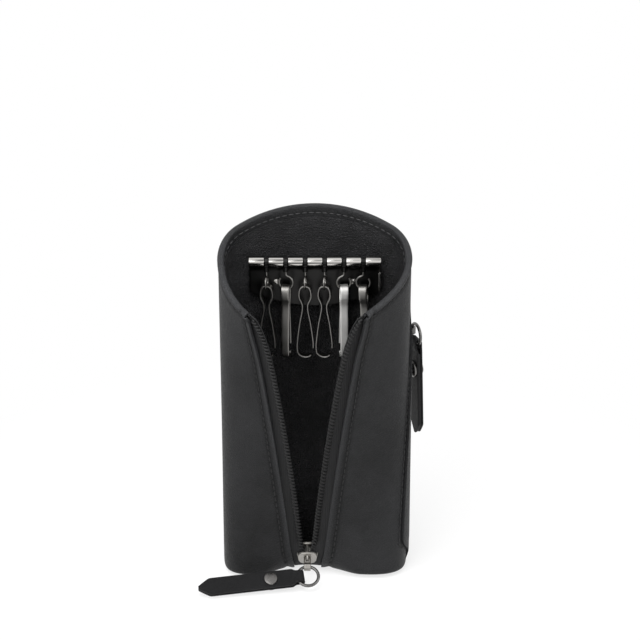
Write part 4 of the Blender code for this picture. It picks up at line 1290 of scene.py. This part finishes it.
strap_stand_off = math.radians(2.2)
ring_places = {name: strap_place(name, box_middle(f"{name}_pull_tab") - joint_at(f"{name}_strap_flap"))
               for name in ("main", "pocket")}
strap_places = dict(ring_places)
strap_places["pocket"] = strap_places["pocket"] @ Matrix.Rotation(strap_stand_off, 4, "Y")
for name, place in strap_places.items():
    strap = laid_grid(f"{name}_strap", 130, 12, tab_point, (0.0, 0.0, 1.0))
    top = [face for face in strap.data.polygons if face.center.z > tab_half_thick * 0.9]
    if sum(face.normal.z for face in top) < 0.0:
        reshape(strap, turn_faces)
    store_painted_light(strap)
    thicken(strap, tab_layer, tab_edge)
    strap.data.transform(place)
    settle(strap, strap_leather, 60.0, (f"{name}_pull_tab",), f"{name}_strap")

    filler = laid_grid(
        f"{name}_strap_filler", 60, 6,
        lambda u, v: (tab_point(lerp(*filler_run, u), v) * [1.0, filler_width_share, 0.0]
                      + [0.0, 0.0, filler_half]),
        (0.0, 0.0, 1.0))
    store_painted_light(filler)
    thicken(filler, 2 * filler_half, filler_edge, 0)
    filler.data.transform(place)
    settle(filler, edge_paint, 50.0, (), f"{name}_strap")

# %% [markdown]
# ## Turned metal
#
# The straps' rivets and the bar's knuckles are round, so each starts as a disc. It is extruded and
# scaled ring by ring up its profile, which is how a lathe would be followed by hand, and needs no
# second tool for the domes.


# %% A turned piece, from a disc
turned_sides = 48


def turned_piece(name, profile):
    """A disc extruded through (radius, height) points."""
    deselect()
    radius, height = profile[0]
    bpy.ops.mesh.primitive_circle_add(vertices=turned_sides, radius=radius, fill_type="NGON",
                                      location=(0.0, 0.0, height))
    item = bpy.context.object
    item.name = name
    bpy.ops.object.transform_apply(location=True, rotation=False, scale=False)
    bpy.ops.object.mode_set(mode="EDIT")
    bpy.ops.mesh.select_all(action="SELECT")
    for (r_low, z_low), (r_high, z_high) in zip(profile, profile[1:]):
        bpy.ops.mesh.extrude_region_move(TRANSFORM_OT_translate={"value": (0.0, 0.0, z_high - z_low)})
        bpy.ops.transform.resize(value=(r_high / r_low, r_high / r_low, 1.0),
                                 center_override=(0.0, 0.0, z_high))
    bpy.ops.mesh.select_all(action="SELECT")
    bpy.ops.mesh.normals_make_consistent(inside=False)
    bpy.ops.object.mode_set(mode="OBJECT")
    return item


# %% Strap rivets
rivet_from_loop = 0.0098
rivet_radius = 0.0031
rivet_dome = 0.0016
rivet_dome_steps = 10
rivet_shank = 0.0011
rivet_sink = 0.00005
rivet_tip = 0.0002
rivet_seat = tab_half_thick + clearance / 2
rivet_lip = rivet_seat + rivet_dome * 0.12
rivet_top = rivet_seat + rivet_dome
rivet_back = rivet_radius * 0.8
rivet_profile = [(rivet_back * 0.5, -rivet_seat - rivet_dome * 0.5),
                 (rivet_back * 0.92, -rivet_seat - rivet_dome * 0.35), (rivet_back, -rivet_seat),
                 (rivet_shank, -rivet_seat + rivet_sink), (rivet_shank, rivet_seat - rivet_sink),
                 (rivet_radius, rivet_seat), (rivet_radius, rivet_lip)]
for k in range(1, rivet_dome_steps + 1):
    angle = math.pi / 2 * k / rivet_dome_steps
    rivet_profile.append((lerp(rivet_tip, rivet_radius, math.cos(angle)),
                          lerp(rivet_lip, rivet_top, math.sin(angle))))
for name, place in strap_places.items():
    rivet = turned_piece(f"{name}_strap_rivet", rivet_profile)
    rivet.data.transform(place @ Matrix.Translation((rivet_from_loop, 0.0, 0.0)))
    settle(rivet, brushed_nickel, 40.0, (f"{name}_pull_rivet",), f"{name}_strap")

# %% [markdown]
# ## Rings
#
# A ring is a torus. The solid model's ring has twenty corners, so a smoother one takes its place,
# with its place read from the joints that it hangs on.

# %% Rings
ring_radius = 0.0038
ring_wire = 0.00115
for name, place in ring_places.items():
    deselect()
    bpy.ops.mesh.primitive_torus_add(major_radius=ring_radius, minor_radius=ring_wire / 2,
                                     major_segments=72, minor_segments=14)
    ring = bpy.context.object
    ring.name = f"{name}_ring"
    ring.data.transform(place @ Matrix.Translation((-ring_radius, 0.0, 0.0)))
    settle(ring, dark_nickel, 180.0, (f"{name}_pull_ring",), f"{name}_ring")

# %% [markdown]
# ## The bar: plate, knuckles and rod
#
# The bar is one stamped sheet: its top is rolled round a rod, and slots are cut in the roll where
# the hooks hang. What is left of the roll is a row of knuckles. Each knuckle is turned, and the
# sheet under them is a grid laid down the profile of the stamping.

# %% Knuckles
knuckle_radius = 0.0018
knuckle_gap = 0.0016
hanger_places = [joint_at(f"hanger_swing_{k}") for k in range(1, 7)]
rod_y, rod_z = hanger_places[0].y, hanger_places[0].z
plate_low, plate_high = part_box("key_plate")
ends = [plate_low[0]]
for place in hanger_places:
    ends += [place.x - knuckle_gap / 2, place.x + knuckle_gap / 2]
ends.append(plate_high[0])
knuckle_lip = 0.00022
knuckle_hole_share = 0.55
for k in range(0, len(ends), 2):
    half = (ends[k + 1] - ends[k]) / 2
    profile = [(knuckle_radius * knuckle_hole_share, -half), (knuckle_radius - knuckle_lip, -half)]
    profile += [(knuckle_radius - knuckle_lip * (1 - math.sin(a)),
                 -half + knuckle_lip * (1 - math.cos(a)))
                for a in (math.pi / 6, math.pi / 3, math.pi / 2)]
    profile += [(r, -z) for r, z in reversed(profile)]
    knuckle = turned_piece(f"bar_knuckle_{k // 2 + 1}", profile)
    knuckle.data.transform(Matrix.Translation(((ends[k] + ends[k + 1]) / 2, rod_y, rod_z))
                           @ Matrix.Rotation(math.pi / 2, 4, "Y"))
    settle(knuckle, painted_band_nickel, 35.0, ("key_plate",), "pouch")

# %% Plate and its flange
plate_thickness = 0.0007
plate_edge = 0.00015
plate_set_back = 0.0031
plate_step_top = 0.0010
plate_step_bottom = 0.0050
plate_step_rows = 0.3
plate_side_drop = 0.0130
plate_middle_drop = 0.0184
plate_half = (plate_high[0] - plate_low[0]) / 2
flange_reach = 0.0018 + plate_thickness / 2
flange_cut = 0.0022
flange_foot_share = 0.35


def plate_drop(x):
    return lerp(plate_middle_drop, plate_side_drop, (x / plate_half) ** 2)


def plate_point(u, v):
    """Down the stamping: out of the roll, back by a soft step, then straight to its lower edge."""
    x = lerp(-plate_half, plate_half, u)
    if v > 1.0 - plate_step_rows:
        share = (1.0 - v) / plate_step_rows
        depth = lerp(plate_step_top, plate_step_bottom, share)
        y = lerp(knuckle_radius - plate_thickness, plate_set_back, ease(share))
    else:
        share = (1.0 - plate_step_rows - v) / (1.0 - plate_step_rows)
        depth = lerp(plate_step_bottom, plate_drop(x), share)
        y = plate_set_back
    return np.array([x, rod_y + y, rod_z - depth])


def flange_point(u, v):
    z = lerp(-plate_side_drop, -plate_step_bottom, v)
    reach = flange_reach * lerp(flange_foot_share, 1.0, clamp((z + plate_side_drop) / flange_cut))
    y = plate_set_back + plate_thickness / 2 - reach * (1.0 - u)
    return np.array([plate_half, rod_y + y, rod_z + z])


# The plate takes the near-black plating, painted shade, and its flange the bright one, a painted
# highlight on its lit edge.
for name, across, along, point, outward, metal in (
        ("bar_plate", 60, 24, plate_point, (0.0, -1.0, 0.0), shade_painted_nickel),
        ("bar_flange", 8, 16, flange_point, (1.0, 0.0, 0.0), bright_nickel)):
    sheet = laid_grid(name, across, along, point, outward)
    thicken(sheet, plate_thickness, plate_edge, 0)
    settle(sheet, metal, 35.0, ("key_plate",), "pouch")

# %% Pad behind the plate
pad_inset = 0.0032
pad_edge = 0.0003


def back_y(x, depth):
    full, corner, main, main_angle = back_oval(1.0)
    if abs(x) < (main - depth) * math.sin(main_angle):
        return full - main + math.sqrt((main - depth) ** 2 - x ** 2)
    return math.sqrt((corner - depth) ** 2 - (abs(x) - half_width + corner) ** 2)


deselect()
bpy.ops.mesh.primitive_cube_add(size=1.0)
pad = bpy.context.object
pad.name = "plate_pad"
bpy.ops.object.mode_set(mode="EDIT")
bpy.ops.mesh.select_all(action="SELECT")
bpy.ops.mesh.subdivide(number_cuts=9)
bpy.ops.object.mode_set(mode="OBJECT")
pad_half = plate_half - pad_inset
pad_front = rod_y + plate_set_back + plate_thickness + clearance / 2
pad_depth = leather_thickness + tape_thickness + lining_thickness + 3 * clearance
for vertex in pad.data.vertices:
    x = vertex.co.x * 2.0 * pad_half
    low, high = rod_z - plate_drop(x) + pad_inset, rod_z - plate_step_bottom
    vertex.co = Vector((x, lerp(pad_front, back_y(x, pad_depth), vertex.co.y + 0.5),
                        lerp(low, high, vertex.co.z + 0.5)))
store_painted_light(pad)
bevel(pad, pad_edge, angle=30.0)
apply_all(pad)
settle(pad, lining_leather, 50.0, ("plate_backing",), "pouch")

# %% [markdown]
# ## Hooks
#
# Each hook is a strip of spring steel bent to a drop, whose ends spring past each other. It hangs
# in an open ring of wire, and the ring's pin turns in a collar. The strip is a grid laid along the
# bend, given its thickness and rounded. The six are copies of one, turned on their pins.

# %% One hook and one ring
hook_width = 0.0028
hook_strip = 0.0005
hook_edge = 0.00012
hook_length = 0.0262
hook_half_span = 0.0031
hook_neck = 0.0066
hook_neck_half_gap = 0.0009
hook_loop_half_span = 0.0021
swivel_wire = 0.0007
swivel_top = 0.0056
swivel_radius = 0.00245
collar_bottom = 0.0038
collar_bore_top = 0.0026
pin_taper = 0.9
ring_turn = (104.0, 400.0)
ring_steps = 40
ring_low = swivel_top + 2 * swivel_radius


def smooth_path(points, steps):
    """A smooth line through points."""
    points = [np.array(p, float) for p in points]
    padded = [2 * points[0] - points[1]] + points + [2 * points[-1] - points[-2]]
    out = []
    for a, b, c, d in zip(padded, padded[1:], padded[2:], padded[3:]):
        for t in np.arange(steps) / steps:
            out.append(0.5 * (2 * b + (c - a) * t + (2 * a - 5 * b + 4 * c - d) * t ** 2
                              + (3 * b - a - 3 * c + d) * t ** 3))
    return np.array(out + [points[-1]])


rise = swivel_radius - math.sqrt(swivel_radius ** 2 - (hook_width / 2) ** 2)
hook_top = rise + swivel_wire / 2 + clearance + hook_strip / 2
wide, neck, loop = hook_half_span - hook_strip / 2, hook_neck_half_gap, hook_loop_half_span
foot_angles = (-42, -66, -90, -114, -138, -162)
long_leg = [(wide * math.cos(math.radians(a)), -hook_length + wide * (1.0 + math.sin(math.radians(a))))
            for a in foot_angles]
upper_leg = [(-wide * 0.99, -hook_length * 0.80), (-wide * 0.70, -hook_length * 0.52),
             (-neck, -hook_neck), (-loop, -hook_neck * 0.42), (-loop * 0.8, hook_top * 0.3)]
long_leg += upper_leg
tongue = [(0.0, hook_top)] + [(-x, z) for x, z in reversed(upper_leg[2:])]
tongue += [(wide * 0.72, -hook_length * 0.52), (wide, -hook_length * 0.76),
           (wide * 1.02, -hook_length * 0.86)]
hook_line = smooth_path(long_leg + tongue, 8)
hook_steps = np.linspace(0.0, 1.0, len(hook_line))


def hook_point(u, v):
    x, z = (float(np.interp(u, hook_steps, hook_line[:, axis])) for axis in range(2))
    return np.array([x, lerp(-hook_width / 2, hook_width / 2, v), z])


hook = laid_grid("one_hook", len(hook_line) - 1, 5, hook_point, (0.0, 0.0, 1.0))
solidify(hook, hook_strip, 0.0)
bevel(hook, hook_edge, 2)
apply_all(hook)

ring_line = [(0.0, 0.0, -collar_bore_top - clearance), (0.0, 0.0, -collar_bottom),
             (0.0, 0.0, -swivel_top + swivel_wire / 2)]
centre = -swivel_top - swivel_radius
for k in range(ring_steps):
    angle = math.radians(lerp(*ring_turn, k / (ring_steps - 1)))
    ring_line.append((swivel_radius * math.cos(angle), 0.0, centre + swivel_radius * math.sin(angle)))
swivel = wire_mesh("one_swivel", ring_line, swivel_wire / 2, 3,
                   [pin_taper] + [1.0] * (len(ring_line) - 1))
print("hook", len(hook.data.polygons), "faces, ring", len(swivel.data.polygons), "faces")

# %% Hang six of each
hook_turns = [math.radians(turn) for turn in (82, -8, 84, 82, 5, -8)]
ring_turned_round = 2
hooks_turned_round = (1, 3, 4)
hook_leaning = 6
lean = math.radians(4.0)
painted_highlight_hook = 5
for k, (place, turn) in enumerate(zip(hanger_places, hook_turns), 1):
    spin = Matrix.Translation(place) @ Matrix.Rotation(turn, 4, "Z")
    quarter = -math.pi / 2 if k in hooks_turned_round else math.pi / 2
    low = spin @ Matrix.Translation((0.0, 0.0, -ring_low)) @ Matrix.Rotation(quarter, 4, "Z")
    if k == hook_leaning:
        low = low @ Matrix.Rotation(-lean, 4, "X")
    if k == ring_turned_round:
        spin = spin @ Matrix.Rotation(math.pi, 4, "Z")
    for kind, model, at in (("swivel", swivel, spin), ("hook", hook, low)):
        copy = model.copy()
        copy.data = model.data.copy()
        copy.name = f"{kind}_of_key_{k}"
        copy.data.transform(at)
        bpy.context.scene.collection.objects.link(copy)
        # Hook 5 takes the far paler plating, a painted highlight; the others take the grey one.
        metal = painted_highlight_nickel if k == painted_highlight_hook and kind == "hook" else grey_nickel
        settle(copy, metal, 45.0, (f"{kind}_{k}",), f"{kind}_body_{k}")
for model in (swivel, hook):
    bpy.data.objects.remove(model)
print(len(hook_turns), "hooks hung")

# %% [markdown]
# ## Carried metal
#
# The sliders, links, hangers, rod and plate rivets are hard pieces whose shape is right in the
# solid model, and only need their metal. The main slider lies at the foot of the open zip, where
# the fold tips it back, so a copy of it is tilted and its edges are softened.

# %% The slider at the foot
slider_tilt = math.radians(26.0)
slider_edge = 0.00018
slider_flat_angle = math.radians(3.0)


def join_flat_faces(work):
    bmesh.ops.remove_doubles(work, verts=work.verts, dist=merge_distance)
    bmesh.ops.dissolve_limit(work, angle_limit=slider_flat_angle, verts=work.verts, edges=work.edges)


slider = bpy.data.objects.new("slider_at_the_foot", frame["nodes"]["main_slider"].data.copy())
bpy.context.scene.collection.objects.link(slider)
slider_middle = box_middle("main_slider")
reshape(slider, join_flat_faces)
slider.data.transform(Matrix.Translation(slider_middle) @ Matrix.Rotation(slider_tilt, 4, "X")
                      @ Matrix.Translation(-slider_middle))
bevel(slider, slider_edge, angle=40.0)
apply_all(slider)
settle(slider, satin_nickel, 50.0, ("main_slider",), "main_slider_body")

# %% Metal on the solid pieces
# The pocket's link is a darker copy of the main link's plating: painted shade.
finishes = {"slider": satin_nickel, "link": satin_nickel, "pocket_pull_link": dark_nickel,
            # The hangers and rod get the near-black plating: painted shade in the knuckles' gaps.
            "hanger": shade_painted_nickel, "rod": shade_painted_nickel, "rivet": bright_nickel}
for node, item in frame["nodes"].items():
    for word, metal in finishes.items():
        if word in node:
            item.data.materials.clear()
            item.data.materials.append(metal)
            print(node, metal.name)

# %% [markdown]
# ## Light and floor
#
# The photograph is lit softly from above and in front, on white. A white world and three broad
# lamps give the metal its bright bands, and the knuckles' long bands are also painted into their
# colour; the lamp overhead is left out of reflections. The camera and every mirror see a white
# world, and the floor is white but for a soft shadow.

# %% Studio
def seen_directly(tree):
    """1 for what the camera, a mirror or glass sees, 0 for the light that falls on things."""
    path = tree.nodes.new("ShaderNodeLightPath")
    total = path.outputs["Is Camera Ray"]
    for name in ("Is Glossy Ray", "Is Transmission Ray"):
        add = tree.nodes.new("ShaderNodeMath")
        add.operation = "MAXIMUM"
        tree.links.new(total, add.inputs[0])
        tree.links.new(path.outputs[name], add.inputs[1])
        total = add.outputs[0]
    return total


world_strength = 0.26
lamp_target = Vector((0.0, 0.0, 0.07))
world = bpy.data.worlds.new("studio")
bpy.context.scene.world = world
world.use_nodes = True
tree = world.node_tree
background = tree.nodes["Background"]
background.inputs["Color"].default_value = (1.0, 1.0, 1.0, 1.0)
background.inputs["Strength"].default_value = world_strength
white = tree.nodes.new("ShaderNodeBackground")
white.inputs["Color"].default_value = (1.0, 1.0, 1.0, 1.0)
white.inputs["Strength"].default_value = 1.0
choose = tree.nodes.new("ShaderNodeMixShader")
tree.links.new(seen_directly(tree), choose.inputs[0])
tree.links.new(background.outputs[0], choose.inputs[1])
tree.links.new(white.outputs[0], choose.inputs[2])
tree.links.new(choose.outputs[0], tree.nodes["World Output"].inputs["Surface"])

lamps = {
    "overhead": ((-0.06, -0.10, 0.46), 0.36, 2.7),
    "front_left": ((-0.20, -0.28, 0.35), 0.34, 0.95),
    "right_side": ((0.62, -0.25, 0.40), 0.50, 1.4),
}
for name, (spot, size, power) in lamps.items():
    lamp_data = bpy.data.lights.new(name, "AREA")
    lamp_data.energy = power
    lamp_data.size = size
    lamp = bpy.data.objects.new(name, lamp_data)
    lamp.location = spot
    lamp.rotation_euler = (lamp_target - Vector(spot)).to_track_quat("-Z", "Y").to_euler()
    lamp.visible_glossy = name != "overhead"
    bpy.context.scene.collection.objects.link(lamp)
    print(name, "lamp,", power, "W")

# %% Floor
floor_drop = 0.0001
shadow_near = 0.03
shadow_far = 0.17
shadow_share = 0.26
deselect()
bpy.ops.mesh.primitive_plane_add(size=6.0, location=(0.0, 0.0, -floor_drop))
floor = bpy.context.object
floor.name = "studio_floor"
floor_finish = Finish("white_floor", (0.93, 0.93, 0.93), 0.9)
away = floor_finish.node("ShaderNodeVectorMath", {"operation": "LENGTH"}, [floor_finish.place], "Value")
spread = floor_finish.node("ShaderNodeMapRange", {"clamp": True}, {
    "Value": away, "From Min": shadow_near, "From Max": shadow_far,
    "To Min": 1.0 - shadow_share, "To Max": 1.0})
floor_tree = floor_finish.tree
glow = floor_tree.nodes.new("ShaderNodeEmission")
floor_mix = floor_tree.nodes.new("ShaderNodeMixShader")
shown = spread * Signal(floor_finish, seen_directly(floor_tree))
floor_tree.links.new(shown.socket, floor_mix.inputs[0])
floor_tree.links.new(floor_finish.shader.outputs[0], floor_mix.inputs[1])
floor_tree.links.new(glow.outputs[0], floor_mix.inputs[2])
floor_tree.links.new(floor_mix.outputs[0], floor_tree.nodes["Material Output"].inputs["Surface"])
floor.data.materials.append(floor_finish.material)
floor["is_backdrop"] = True
print("floor", floor_drop / mm, "mm under the base")

# %% Sizes of both models, and the end
visual_box = [list(corner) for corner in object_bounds()]
for label, corners in (("model", cad_box), ("visual", visual_box)):
    print(label, [[round(v / mm, 1) for v in corner] for corner in corners])
